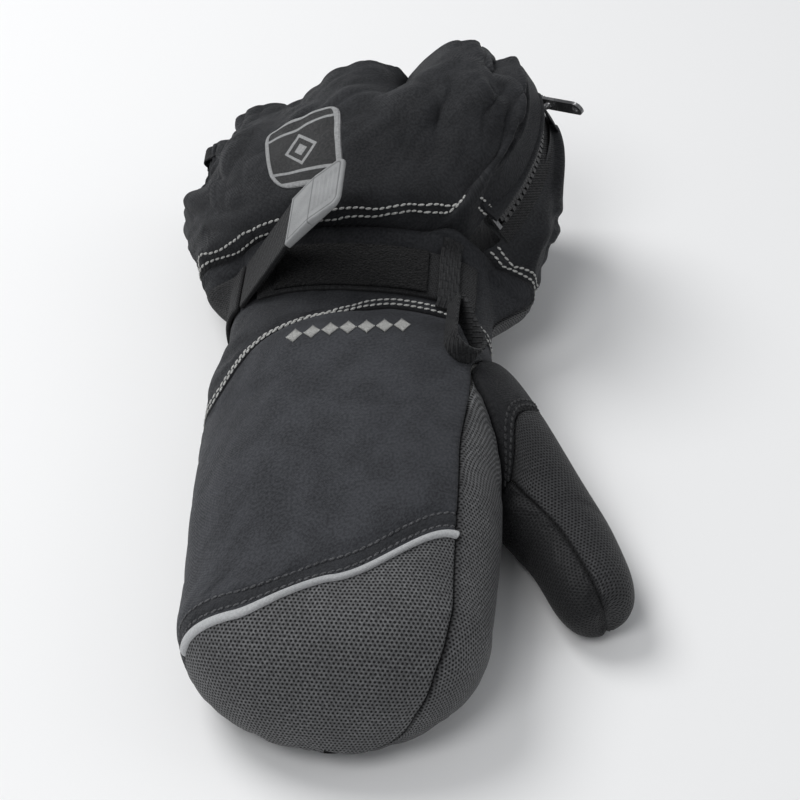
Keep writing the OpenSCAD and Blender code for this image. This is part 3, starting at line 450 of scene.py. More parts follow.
class Cut:
    """A panel's grid on the form, and how far each of its vertices lies from its borders."""

    def __init__(self, place, across, rows, crowding=0.7):
        self.place = place
        self.a = [crowd(i / across, crowding) for i in range(across + 1)]
        self.b = [crowd(j / rows, crowding) for j in range(rows + 1)]
        grid = [[place(a, b, 0) for a in self.a] for b in self.b]
        self.row = [running_length(line) for line in grid]
        self.column = [running_length(line) for line in zip(*grid)]

    def distances(self, i, j):
        row, column = self.row[j], self.column[i]
        return {"first": row[i], "last": row[-1] - row[i], "near": column[j], "far": column[-1] - column[j]}

    def line(self, side, distance, rise=None):
        """Points that run along one border at a distance from it; rise adds to it by the share across."""
        points = []
        if side in ("near", "far"):
            for i, a in enumerate(self.a):
                lengths, off = self.column[i], distance + (rise(a) if rise else 0.0)
                points.append(self.place(a, share_at(lengths, self.b, off, side == "far"), 0))
        else:
            for j, b in enumerate(self.b):
                lengths = self.row[j]
                points.append(self.place(share_at(lengths, self.a, distance, side == "last"), b, 0))
        return points


def share_at(lengths, shares, distance, from_end):
    """Share at which a running length is reached."""
    target = lengths[-1] - distance if from_end else distance
    for k in range(1, len(lengths)):
        if lengths[k] >= target and lengths[k] > lengths[k - 1]:
            return mix(shares[k - 1], shares[k], (target - lengths[k - 1]) / (lengths[k] - lengths[k - 1]))
    return shares[-1]


# %% [markdown]
# ## From a cut to a piece
#
# `sew_panel` carries the grid onto the form and gives it a UV map in metres, measured along the
# cloth from the panel's middle, so a weave keeps its pitch wherever the panel bends. Two more
# attributes, `seam` and `run`, hold each vertex's distance to the nearest sewn border and its
# place along it, in millimetres. The finishes use them to paint shade into the seams and to
# gather them.

# %% Making a panel
NO_SEAM = 40.0
WELD = 2e-5
SEAMS_MEET = skin_point(270, TIP_Y + 2, 0)
CAP_CENTRE, CAP_AXIS, CROWN_REACH = Vector((-2, -48, 22)), Vector((0.05, -0.6, 0.8)).normalized(), 30.0
pieces_made = {}


def keep_piece(name, bm, finish, smooth=True):
    """Turns a bmesh into a named piece with one finish."""
    mesh = bpy.data.meshes.new(name)
    for face in bm.faces:
        face.smooth = smooth
    bm.to_mesh(mesh)
    bm.free()
    piece = bpy.data.objects.new(name, mesh)
    piece.data.materials.append(finish)
    bpy.context.collection.objects.link(piece)
    pieces_made[name] = piece
    return piece


def new_grid(across, rows, layers, size=0.5):
    """A grid and its named float layers."""
    bm = bmesh.new()
    bmesh.ops.create_grid(bm, x_segments=across, y_segments=rows, size=size)
    return bm, [bm.verts.layers.float.new(name) for name in layers]


def write_uv(bm, place_of):
    """Gives each corner the flat place of its vertex."""
    uv_layer = bm.loops.layers.uv.new("UVMap")
    for face in bm.faces:
        for loop in face.loops:
            loop[uv_layer].uv = place_of[loop.vert.index]


def face_outwards(piece, spot, outward):
    """Flips the grid if its face nearest a spot points inwards."""
    face = min(piece.data.polygons, key=lambda f: (f.center - spot).length_squared)
    if face.normal.dot(outward) < 0:
        piece.data.flip_normals()


def about_cap(p):
    """Place of a point of the cap on a flat map: its distance from the cap's crown, and its bearing."""
    spoke = p - CAP_CENTRE
    side = CAP_AXIS.cross(Vector((1, 0, 0))).normalized()
    right = side.cross(CAP_AXIS)
    x, y = spoke.dot(right), spoke.dot(side)
    flat_reach = math.hypot(x, y)
    if flat_reach < 1e-6:
        return 0.0, 0.0
    turned = math.atan2(flat_reach, spoke.dot(CAP_AXIS)) * (spoke.length + CROWN_REACH) / 2
    return x / flat_reach * turned * MM, y / flat_reach * turned * MM


def sew_panel(name, cut, finish, rolls, channels=(), depth=0.0, cap=False):
    """rolls: {border: radius}. channels: (border, distance, depth) of stitched rows."""
    across, rows = len(cut.a) - 1, len(cut.b) - 1
    bm, (seam_layer, run_layer, row_layer) = new_grid(across, rows, ("seam", "run", "row"))
    middle_i, middle_j = across // 2, rows // 2
    place_of = {}
    for v in bm.verts:
        i, j = round((v.co.x + 0.5) * across), round((v.co.y + 0.5) * rows)
        far = cut.distances(i, j)
        inset = depth
        open_here = ease(min(cut.row[j][-1] / 14, (cut.place(cut.a[i], cut.b[j], 0) - SEAMS_MEET).length / 8))
        for side, radius in rolls.items():
            reach = cut.row[j][-1] if side in ("first", "last") else cut.column[i][-1]
            inset += rolled_in(far[side], min(radius, reach / 4)) * open_here
        for side, distance, deep in channels:
            inset += deep * math.exp(-(((far[side] - distance) / 0.9) ** 2))
        nearest = min(rolls, key=far.get) if rolls else None
        v[seam_layer] = mix(NO_SEAM, far[nearest], open_here) if nearest else NO_SEAM
        v[row_layer] = far["near"]
        v[run_layer] = far["near"] if nearest in ("first", "last") else far["first"]
        v.co = cut.place(cut.a[i], cut.b[j], inset) * MM
        place_of[v.index] = about_cap(cut.place(cut.a[i], cut.b[j], 0)) if cap else (
            (cut.row[j][i] - cut.row[j][middle_i]) * MM,
            (cut.column[i][j] - cut.column[i][middle_j]) * MM,
        )
    write_uv(bm, place_of)
    bmesh.ops.remove_doubles(bm, verts=bm.verts, dist=WELD)
    piece = keep_piece(name, bm, finish)
    a, b = cut.a[len(cut.a) // 2], cut.b[len(cut.b) // 2]
    outer, inner = cut.place(a, b, 0) * MM, cut.place(a, b, 3) * MM
    face_outwards(piece, outer, outer - inner)
    return piece


# %% [markdown]
# ## Nodes without clicking
#
# Materials are trees of nodes. Three small helpers keep them readable in code: one adds a node
# and joins its inputs, one adds a Math node, and one opens a material with its Principled
# shader. An effect that several finishes share becomes a node group with named sockets.


# %% Node helpers
def add(tree, kind, inputs=None, **settings):
    """Adds a node. Inputs are sockets, to be linked, or plain values."""
    node = tree.nodes.new("ShaderNode" + kind)
    for key, value in settings.items():
        setattr(node, key, value)
    for key, value in (inputs or {}).items():
        if isinstance(value, bpy.types.NodeSocket):
            tree.links.new(value, node.inputs[key])
        else:
            node.inputs[key].default_value = value
    return node


def maths(tree, operation, first, second=0.0, third=0.0):
    """Adds a Math node and returns its output."""
    return add(tree, "Math", {0: first, 1: second, 2: third}, operation=operation).outputs[0]


def times(tree, first, second):
    return maths(tree, "MULTIPLY", first, second)


def ramp(tree, value, low, high, start=0.0, end=1.0):
    """Smoothly maps low..high to start..end."""
    inputs = {"Value": value, 1: low, 2: high, 3: start, 4: end}
    return add(tree, "MapRange", inputs, interpolation_type="SMOOTHSTEP").outputs[0]


def blend_colours(tree, share, first, second):
    """Mixes two colours, each a socket or a tuple."""
    node = add(tree, "Mix", data_type="RGBA")
    for socket, value in ((node.inputs[0], share), (node.inputs[6], first), (node.inputs[7], second)):
        if isinstance(value, bpy.types.NodeSocket):
            tree.links.new(value, socket)
        else:
            socket.default_value = (*value, 1) if isinstance(value, tuple) else value
    return node.outputs[2]


def new_finish(name, **constants):
    """A material with its Principled shader's constant sockets set."""
    material = bpy.data.materials.new(name)
    material.use_nodes = True
    shader = material.node_tree.nodes["Principled BSDF"]
    for key, value in constants.items():
        socket = shader.inputs[key.replace("_", " ")]
        socket.default_value = (*value, 1) if isinstance(value, tuple) else value
    return material, material.node_tree, shader


def new_group(name, inputs, outputs):
    """An empty node group with named sockets."""
    tree = bpy.data.node_groups.new(name, "ShaderNodeTree")
    for label, kind in inputs:
        tree.interface.new_socket(label, in_out="INPUT", socket_type="NodeSocket" + kind)
    for label, kind in outputs:
        tree.interface.new_socket(label, in_out="OUTPUT", socket_type="NodeSocket" + kind)
    source = tree.nodes.new("NodeGroupInput")
    result = tree.nodes.new("NodeGroupOutput")
    return tree, source.outputs, result.inputs


def use_group(tree, group, inputs):
    node = tree.nodes.new("ShaderNodeGroup")
    node.node_tree = group
    for key, value in inputs.items():
        if isinstance(value, bpy.types.NodeSocket):
            tree.links.new(value, node.inputs[key])
        else:
            node.inputs[key].default_value = value
    return node.outputs


def cloth_place(tree):
    """The piece's own UV map, in metres along the cloth."""
    return add(tree, "UVMap", uv_map="UVMap").outputs[0]


def attribute(tree, name):
    return add(tree, "Attribute", attribute_name=name).outputs["Fac"]


def bump(tree, shader, height, distance, strength=1.0):
    node = add(tree, "Bump", {"Height": height, "Distance": distance, "Strength": strength})
    tree.links.new(node.outputs[0], shader.inputs["Normal"])
    return node


print("node helpers ready")

# %% [markdown]
# ## Weave, dimples, mottle and seams as node groups
#
# Plain weave is two sets of round yarns that take turns on top: the sign of the product of two
# sines says which one is up. The palm's synthetic leather carries small dimples in staggered
# rows, so every other row is moved half a pitch. A mottle, noise at two sizes, keeps any dark
# cloth from looking like card. The seam group paints shade into the cloth beside a border,
# where the seam's valley lies, and gathers it.

# %% Weave group
weave_group, source, result = new_group(
    "weave", [("Place", "Vector"), ("Warp", "Float"), ("Weft", "Float")], [("Height", "Float"), ("Gap", "Float")]
)
tree = weave_group
split = add(tree, "SeparateXYZ", {0: source["Place"]}).outputs
warp = maths(tree, "SINE", times(tree, maths(tree, "DIVIDE", split[0], source["Warp"]), math.pi))
weft = maths(tree, "SINE", times(tree, maths(tree, "DIVIDE", split[1], source["Weft"]), math.pi))
over = maths(tree, "GREATER_THAN", times(tree, warp, weft), 0.0)
warp_high, weft_high = maths(tree, "ABSOLUTE", warp), maths(tree, "ABSOLUTE", weft)
height = add(tree, "Mix", {0: over, 2: weft_high, 3: warp_high}).outputs[0]
tree.links.new(height, result["Height"])
tree.links.new(ramp(tree, height, 0.0, 0.55, 1.0, 0.0), result["Gap"])

# %% Dimple group
dimple_group, source, result = new_group(
    "dimples", [("Place", "Vector"), ("Pitch", "Float"), ("Size", "Float")], [("Dimple", "Float")]
)
tree = dimple_group
split = add(tree, "SeparateXYZ", {0: source["Place"]}).outputs
down = maths(tree, "DIVIDE", split[1], times(tree, source["Pitch"], math.sqrt(0.75)))
line = maths(tree, "FLOOR", down)
shift = times(tree, maths(tree, "FLOORED_MODULO", line, 2.0), 0.5)
side = maths(tree, "ADD", maths(tree, "DIVIDE", split[0], source["Pitch"]), shift)
dx = maths(tree, "SUBTRACT", maths(tree, "FRACT", side), 0.5)
dy = times(tree, maths(tree, "SUBTRACT", maths(tree, "FRACT", down), 0.5), math.sqrt(0.75))
reach = maths(tree, "SQRT", maths(tree, "ADD", times(tree, dx, dx), times(tree, dy, dy)))
inner = times(tree, source["Size"], 0.55)
dimple = ramp(tree, reach, inner, source["Size"], 1.0, 0.0)
tree.links.new(dimple, result["Dimple"])

# %% Mottle group
mottle_group, source, result = new_group(
    "mottle", [("Place", "Vector"), ("Size", "Float")], [("Fine", "Float"), ("Broad", "Float")]
)
tree = mottle_group
fine_scale = maths(tree, "DIVIDE", 1.0, source["Size"])
broad_scale = maths(tree, "DIVIDE", 0.07, source["Size"])
fine = add(tree, "TexNoise", {"Vector": source["Place"], "Scale": fine_scale, "Detail": 3.0, "Roughness": 0.6})
broad = add(tree, "TexNoise", {"Vector": source["Place"], "Scale": broad_scale, "Detail": 2.0})
tree.links.new(ramp(tree, fine.outputs[0], 0.32, 0.68), result["Fine"])
tree.links.new(ramp(tree, broad.outputs[0], 0.35, 0.65), result["Broad"])

# %% Seam group
seam_group, source, result = new_group(
    "seam", [("Distance", "Float"), ("Run", "Float"), ("Pitch", "Float"), ("Reach", "Float")],
    [("Shade", "Float"), ("Pucker", "Float")]
)
tree = seam_group
# Shade is painted shade: strongest at a border, where the cloth rolls into the seam's valley.
close = ramp(tree, source["Distance"], 0.0, source["Reach"], 1.0, 0.0)
phase = times(tree, maths(tree, "DIVIDE", source["Run"], source["Pitch"]), 2 * math.pi)
wave = maths(tree, "MULTIPLY_ADD", maths(tree, "SINE", phase), 0.5, 0.5)
tree.links.new(maths(tree, "POWER", close, 3.0), result["Shade"])
tree.links.new(times(tree, close, wave), result["Pucker"])
print("groups:", [g.name for g in bpy.data.node_groups])


# %% Using the groups
def woven(tree, place, warp, weft):
    return use_group(tree, weave_group, {"Place": place, "Warp": warp, "Weft": weft})


def mottled(tree, place, size):
    return use_group(tree, mottle_group, {"Place": place, "Size": size})


def seamed(tree, pitch, reach):
    """The seam group, fed by the piece's own distances."""
    distance, run = attribute(tree, "seam"), attribute(tree, "run")
    return use_group(tree, seam_group, {"Distance": distance, "Run": run, "Pitch": pitch, "Reach": reach})


def paint(tree, shader, colour):
    tree.links.new(colour, shader.inputs["Base Color"])


def roughen(tree, shader, value, start, end):
    """Roughness between two values, as the mask goes from 0 to 1."""
    tree.links.new(ramp(tree, value, 0, 1, start, end), shader.inputs["Roughness"])


# %% [markdown]
# ## Cloth finishes
#
# Each finish is a Principled shader with a high roughness and some sheen, because cloth's short
# fibres catch light at a glancing angle. What varies over the surface comes from the groups:
# colour from mottle and yarn gaps, painted shade from the seam group, height from weave, dimples
# and puckers. The shell cloth and the grip each come in lit and shaded copies, so painted light
# sits in their colours.


# %% Shell cloth
def shell_finish(name, dark, light, yarn, sheen=0.06, gather=2.8, band=None):
    """A fine plain weave in two shades of charcoal, with painted shade in the seam valleys; band is a painted shade
    in the stitched channel, between two distances from a border.
    """
    material, tree, shader = new_finish(
        name, Sheen_Weight=sheen, Sheen_Roughness=0.45, Sheen_Tint=(0.75, 0.77, 0.8), Specular_IOR_Level=0.25
    )
    place = cloth_place(tree)
    weave = woven(tree, place, yarn, yarn * 1.15)
    mottle = mottled(tree, place, 0.0010)
    seam = seamed(tree, gather, 5.0)
    shade = maths(tree, "MULTIPLY_ADD", mottle["Fine"], 0.62, times(tree, mottle["Broad"], 0.38))
    cloth = blend_colours(tree, shade, dark, light)
    gap = blend_colours(tree, times(tree, weave["Gap"], 0.55), cloth, (0.004, 0.004, 0.005))
    # Painted shade: the cloth darkens towards black in the seam valleys.
    wear_and_painted_shade = blend_colours(tree, times(tree, seam["Shade"], 0.75), gap, (0.003, 0.003, 0.004))
    # Painted shade: a darker band in the channel between the two stitched rows.
    if band:
        row = attribute(tree, "row")
        starts, ends = ramp(tree, row, band[0] - 0.6, band[0]), ramp(tree, row, band[1] + 0.6, band[1])
        inside = times(tree, starts, ends)
        wear_and_painted_shade = blend_colours(tree, times(tree, inside, 0.45), wear_and_painted_shade, (0.005, 0.0052, 0.006))
    paint(tree, shader, wear_and_painted_shade)
    roughen(tree, shader, mottle["Fine"], 0.80, 0.62)
    height = maths(tree, "MULTIPLY_ADD", weave["Height"], 0.22, times(tree, mottle["Fine"], 0.10))
    height = maths(tree, "MULTIPLY_ADD", seam["Pucker"], 0.5, height)
    bump(tree, shader, height, 0.0004)
    return material


# Painted light: one shell cloth in five shades. This one is the yoke's; the back's is a painted lit copy, and the
# gauntlet's, the gore's and the hem's are painted shaded copies.
back_finish = shell_finish("shell_cloth", (0.0130, 0.0137, 0.0160), (0.0320, 0.0336, 0.0380), 0.00042)
lit_piped_finish = shell_finish(
    "piped_shell_cloth_painted_light", (0.0240, 0.0252, 0.0290), (0.0590, 0.0618, 0.0700), 0.00042, band=(3.4, 8.2),
)
shaded_gauntlet_finish = shell_finish("gauntlet_cloth_painted_shade", (0.0082, 0.0087, 0.0102), (0.0205, 0.0215, 0.0245), 0.00048, 0.07)
shaded_gore_finish = shell_finish("gore_cloth_painted_shade", (0.0075, 0.0078, 0.0090), (0.0150, 0.0155, 0.0175), 0.00045, 0.07)


# %% Dimpled grip
def grip_finish(name, dark, light, hollow=0.95, pitch=0.00136):
    """Synthetic leather with small dark dimples in staggered rows."""
    material, tree, shader = new_finish(name, Specular_IOR_Level=0.3, Sheen_Weight=0.04)
    place = cloth_place(tree)
    dimple = use_group(tree, dimple_group, {"Place": place, "Pitch": pitch, "Size": 0.36})
    mottle = mottled(tree, place, 0.0011)
    seam = seamed(tree, 3.0, 4.0)
    land = blend_colours(tree, mottle["Fine"], dark, light)
    land = blend_colours(tree, times(tree, mottle["Broad"], 0.35), land, dark)
    colour = blend_colours(tree, times(tree, dimple["Dimple"], hollow), land, (0.003, 0.003, 0.0035))
    # Painted shade: the grip darkens towards black in the seam valleys.
    wear_and_painted_shade = blend_colours(tree, times(tree, seam["Shade"], 0.8), colour, (0.004, 0.004, 0.005))
    paint(tree, shader, wear_and_painted_shade)
    tree.links.new(ramp(tree, dimple["Dimple"], 0.0, 1.0, 0.58, 0.9), shader.inputs["Roughness"])
    height = maths(tree, "MULTIPLY_ADD", dimple["Dimple"], -0.8, times(tree, mottle["Fine"], 0.25))
    height = maths(tree, "MULTIPLY_ADD", seam["Pucker"], 0.35, height)
    bump(tree, shader, height, 0.0005)
    return material


# Painted light: one grip in three shades. This one is the grip's own tone raised by painted light; the outer thumb's
# and the inner thumb's are painted shaded copies, and the inner one has fainter dimples under its painted shade.
lit_grip_finish = grip_finish("dimpled_grip_painted_lit", (0.066, 0.0668, 0.069), (0.155, 0.157, 0.161))
shaded_outer_thumb_finish = grip_finish("outer_thumb_grip_painted_shade", (0.019, 0.0195, 0.021), (0.046, 0.047, 0.049))
shaded_inner_thumb_finish = grip_finish("inner_thumb_grip_painted_shade", (0.006, 0.0063, 0.007), (0.015, 0.0155, 0.017), 0.6)
print("finishes:", [m.name for m in bpy.data.materials])

# %% [markdown]
# ## The hand's panels
#
# The back is one panel of woven shell cloth, with two rows of stitching beside the piping. The
# tip, the side and the palm are dimpled grip. Each panel is cut with `sew_panel`: its borders
# roll in at the seams, and the channels are the stitched rows.

# %% Back, tip, side and palm
ROLL = 1.9


def between(turn_of, start, end):
    """A place function from shares across and along to a point at a depth."""
    def place(a, b, depth):
        y = mix(start(a), end(a), b)
        return skin_point(turn_of(a, y), y, depth)
    return place


cuts = {
    "back": Cut(between(back_turn, piping_y, wrist_y), 84, 84),
    "tip": Cut(between(back_turn, lambda a: TIP_Y, piping_y), 96, 48, 0.5),
    "palm": Cut(between(palm_turn, lambda a: TIP_Y + 2, wrist_y), 72, 96),
}


def side_place(a, b, depth):
    y = mix(TIP_Y + 2, GUSSET_APEX, b)
    low = along(PALM_SEAM, y) if y < THUMB_NEAR else thumb_top_turn(y)
    return skin_point(mix(low, along(GUSSET_TOP, y), a), y, depth)


cuts["side"] = Cut(side_place, 34, 84)
all_round = {"first": ROLL, "last": ROLL, "near": ROLL, "far": ROLL}
back_cloth = sew_panel(
    "back_cloth", cuts["back"], lit_piped_finish, all_round,
    channels=[("near", 3.4, 0.45), ("near", 8.6, 0.6), ("far", 2.6, 0.4)],
)
tip_cloth = sew_panel("tip_cloth", cuts["tip"], lit_grip_finish, {"first": ROLL, "last": ROLL, "far": ROLL}, cap=True)
palm_cloth = sew_panel("palm_cloth", cuts["palm"], lit_grip_finish, {"first": ROLL, "last": ROLL, "far": ROLL})
side_cloth = sew_panel("side_cloth", cuts["side"], lit_grip_finish, {"first": ROLL, "last": ROLL})
for piece in (back_cloth, tip_cloth, palm_cloth, side_cloth):
    print(piece.name, len(piece.data.polygons), "faces")

# %% [markdown]
# ## The thumb
#
# The thumb is three pieces: a smooth gore at its root and two grips that meet in a seam winding
# from its inner side to its top. The same cut works on it, with the ring angle across and the
# distance down the thumb along.


# %% Thumb
def thumb_place(start, end, first):
    def place(a, b, depth):
        s = mix(start, end, b)
        return thumb_point(along(THUMB_SEAM, s) + first + 180 * a, s, depth)
    return place


cuts["gore"] = Cut(thumb_place(0, THUMB_GRIP_START, -180), 44, 22)
cuts["grip_upper"] = Cut(thumb_place(THUMB_GRIP_START, 1, -180), 44, 56)
cuts["grip_lower"] = Cut(thumb_place(0, 1, 0), 44, 72)
thumb_gore_cloth = sew_panel("thumb_gore_cloth", cuts["gore"], shaded_gore_finish, all_round)
thumb_upper_cloth = sew_panel(
    "thumb_upper_cloth", cuts["grip_upper"], shaded_outer_thumb_finish, {"first": ROLL, "last": ROLL, "near": 1.2},
)
thumb_lower_cloth = sew_panel(
    "thumb_lower_cloth", cuts["grip_lower"], shaded_inner_thumb_finish, {"first": ROLL, "last": ROLL, "near": ROLL},
)

# %% [markdown]
# ## Wrist and gauntlet
#
# Past the wrist seam a yoke narrows under the belt, and the gauntlet flares from it. Its two
# panels end at the zip on the thumb side. The gauntlet is a single layer of cloth, and it hangs
# in deeper folds than the padded hand.


# %% Wrist panels
cuts["yoke"] = Cut(between(back_turn, wrist_y, lambda a: GAUNTLET_SEAM), 84, 40)
cuts["under"] = Cut(between(palm_turn, wrist_y, lambda a: GAUNTLET_SEAM), 84, 40)
wrist_rolls = {"near": ROLL, "far": 1.2, "first": 1.2, "last": 1.2}
wrist_cloth = sew_panel("wrist_cloth", cuts["yoke"], back_finish, wrist_rolls)
wrist_under_cloth = sew_panel("wrist_under_cloth", cuts["under"], lit_grip_finish, wrist_rolls)


# %% Gauntlet panels
def billow(turn, y, size, shear, phase):
    """Rounded swellings that meet in creases: the sign of the noise is dropped."""
    sheared = turn + shear * (y - GAUNTLET_SEAM)
    p = Vector((cos_d(sheared), sin_d(sheared), 0)) * 1.25 / size
    return abs(noise.noise(p + Vector((phase, 0, (y - GAUNTLET_SEAM) / (95 * size)))))


def gathers(turn, count):
    """Rounded gathers that meet in narrow valleys, as an elastic draws them: 0 in a valley, 1 on a crest."""
    slow = noise.noise(Vector((cos_d(turn) * 2.1, sin_d(turn) * 2.1, 5.2)))
    return abs(math.sin(math.radians(turn * count / 2) + 3 * slow)) ** 0.75


DIP_TURN, DIP_HALF, DIP_DEPTH, GATHERS = 77.0, 6.0, 9.5, 42


def drape(turn, y):
    """How far the soft cloth of the gauntlet stands out from its plain form."""
    grow = ease((y - GAUNTLET_SEAM - 3) / 30)
    mouth = ease((y - 158) / 34)
    clear = ease((abs(turn_from_zip(turn, y)) - 13) / 16)
    under = 1.0 if sin_d(turn) > -0.2 else 0.35
    swell = 8.5 * billow(turn, y, 0.55, 0.32, 3.1) + 4.2 * billow(turn, y, 0.27, -0.45, 8.4)
    swell += 2.4 * billow(turn, y, 0.15, 0.6, 12.3) - 2.4
    gather = 1.4 * (gathers(turn, GATHERS) - 0.6) * mouth**2
    off = (turn - DIP_TURN - 0.25 * (MOUTH_END - y)) / DIP_HALF
    dip = DIP_DEPTH * math.exp(-off * off) * ease((y - 138) / 50)
    return clear * under * (grow * swell * (1 - 0.45 * mouth) + gather - dip)


def drape_point(turn, y, depth):
    p = skin_point(turn, y, depth)
    out = drape(turn, y) if y > GAUNTLET_SEAM else 0.0
    p += out * Vector((cos_d(turn), 0, sin_d(turn)))
    p.z = max(p.z, depth, 0)
    return p


GAUNTLET_ROWS_END = MOUTH_END - 2.5


def gauntlet_back_place(a, b, depth):
    y = mix(GAUNTLET_SEAM, GAUNTLET_ROWS_END, b)
    return drape_point(mix(zip_edge(y) + SLOT_HALF / ZIP_TURN_MM, FINGER_TURN, a), y, depth)


def gauntlet_under_place(a, b, depth):
    y = mix(GAUNTLET_SEAM, GAUNTLET_ROWS_END, b)
    return drape_point(mix(FINGER_TURN, zip_edge(y) + 360 - SLOT_HALF / ZIP_TURN_MM, a), y, depth)


cuts["gauntlet_back"] = Cut(gauntlet_back_place, 180, 54, 0.3)
cuts["gauntlet_under"] = Cut(gauntlet_under_place, 150, 44, 0.3)
gauntlet_back_cloth = sew_panel(
    "gauntlet_back_cloth", cuts["gauntlet_back"], shaded_gauntlet_finish, {"near": 1.2, "last": 1.2},
)
gauntlet_under_cloth = sew_panel(
    "gauntlet_under_cloth", cuts["gauntlet_under"], shaded_gauntlet_finish, {"near": 1.2, "first": 1.2},
)
print("panels:", len(pieces_made))

# %% [markdown]
# ## Filling the panels
#
# Flat cloth laid on a form looks like a shell of plastic. Real panels are cut a little too large,
# are held at their seams and are pushed out by the wadding. A cloth simulation does just that:
# the borders, the stitched rows and the strip under the belt are pinned, the cloth grows by a few
# per cent, and a pressure fills it. Each vertex may leave its rest place only by a few
# millimetres, so the panels stay clear of what lies on and under them. The result is written back
# into the mesh, so no Cloth modifier is left on the piece, and one subdivision smooths it.


# %% Pinning
def pin(piece, cut_rows=(), under_belt=False):
    """Holds the borders, the stitched rows and what lies under the belt."""
    mesh = piece.data
    seam = mesh.attributes["seam"].data
    rest = mesh.attributes["row"].data
    held = [
        v.index for v in mesh.vertices
        if seam[v.index].value < 1.1
        or any(abs(rest[v.index].value - d) < 0.55 for d in cut_rows)
        or (under_belt and (STRAP_NEAR - 1) * MM < v.co.y < (STRAP_FAR + 1) * MM)
    ]
    piece.vertex_groups.new(name="held").add(held, 1.0, "REPLACE")
    return len(held)


# %% Cloth simulation
FRAMES = 20
CLOTH_MASS = 0.02
MOST_SLIDE = 1.2


def add_cloth(piece, pressure, growth, stiffness=6.0):
    settings = piece.modifiers.new("stuffing", "CLOTH")
    cloth = settings.settings
    cloth.quality = 4
    cloth.mass = CLOTH_MASS
    cloth.air_damping = 2.0
    cloth.tension_stiffness = cloth.compression_stiffness = stiffness
    cloth.shear_stiffness = stiffness / 2
    cloth.bending_stiffness = 0.05
    cloth.use_pressure = True
    cloth.uniform_pressure_force = pressure
    cloth.shrink_min = -growth
    cloth.vertex_group_mass = "held"
    cloth.effector_weights.gravity = 0
    settings.collision_settings.use_collision = False
    settings.collision_settings.use_self_collision = False
    settings.point_cache.frame_start = 1
    settings.point_cache.frame_end = FRAMES


def soft_cap(value, most):
    return most * math.tanh(value / most) if most > 0 else 0.0


def write_back(piece, outward, inward):
    """Moves the mesh to the simulated places, each vertex within its limits."""
    evaluated = piece.evaluated_get(bpy.context.evaluated_depsgraph_get()).data
    mesh = piece.data
    rest = [v.co.copy() for v in mesh.vertices]
    normals = [v.normal.copy() for v in mesh.vertices]
    largest = 0.0
    for k, v in enumerate(mesh.vertices):
        moved = evaluated.vertices[k].co - rest[k]
        out = moved.dot(normals[k])
        along_cloth = moved - out * normals[k]
        out = soft_cap(out, (outward if out > 0 else inward) * MM)
        slide = along_cloth.length
        if slide > 0:
            along_cloth *= soft_cap(slide, MOST_SLIDE * MM) / slide
        v.co = rest[k] + (out * normals[k] + along_cloth)
        v.co.z = max(v.co.z, 0.0)
        largest = max(largest, abs(out))
    return largest / MM


def smooth_up(piece, levels=1):
    """One subdivision, the same in the view and in the render."""
    subdivision = piece.modifiers.new("smooth", "SUBSURF")
    subdivision.levels = subdivision.render_levels = levels


def fill_panels(fillings):
    """fillings: {piece: (pressure, growth, outward, inward)}"""
    for piece, (pressure, growth, *_) in fillings.items():
        add_cloth(piece, pressure, growth)
    for step in range(1, FRAMES + 1):
        bpy.context.scene.frame_set(step)
    moves = {}
    for piece, (_, _, outward, inward) in fillings.items():
        moves[piece.name] = write_back(piece, outward, inward)
    for piece in fillings:
        piece.modifiers.remove(piece.modifiers["stuffing"])
        print(piece.name, "moved by at most", round(moves[piece.name], 2), "mm")
    bpy.context.scene.frame_set(1)
    for piece in fillings:
        smooth_up(piece)


# %% Filling every panel
fillings = {
    back_cloth: (95, 0.012, 1.3, 0.8),
    tip_cloth: (95, 0.012, 1.4, 0.8),
    palm_cloth: (60, 0.012, 1.0, 1.0),
    side_cloth: (95, 0.015, 1.5, 0.8),
    thumb_gore_cloth: (95, 0.015, 1.0, 0.6),
    thumb_upper_cloth: (95, 0.015, 1.4, 0.6),
    thumb_lower_cloth: (130, 0.05, 3.4, 0.6),
    wrist_cloth: (120, 0.05, 2.4, 0.8),
    wrist_under_cloth: (110, 0.05, 2.0, 0.8),
    gauntlet_back_cloth: (70, 0.045, 3.2, 1.7),
    gauntlet_under_cloth: (60, 0.045, 2.2, 1.5),
}
stitched_rows = {"back_cloth": (3.3, 8.4), "wrist_cloth": (1.7, 4.3), "wrist_under_cloth": (1.7, 4.3)}
for piece in fillings:
    held = pin(piece, stitched_rows.get(piece.name, ()), piece.name.startswith("wrist"))
    print(piece.name, "held at", held, "of", len(piece.data.vertices), "vertices")
fill_panels(fillings)

# %% [markdown]
# ## Strips
#
# The hem, the belt, the elastics and the linings are strips and sleeves: a grid on the form with
# an even wall. They could be extruded edge by edge. One helper makes them all: it carries a grid
# with `place(a, b)`, gives it the same UV map in metres, and leaves the wall to a Solidify
# modifier, so one number sets the thickness.


# %% Making a strip
FACE_TEST = (0.41, 0.13)


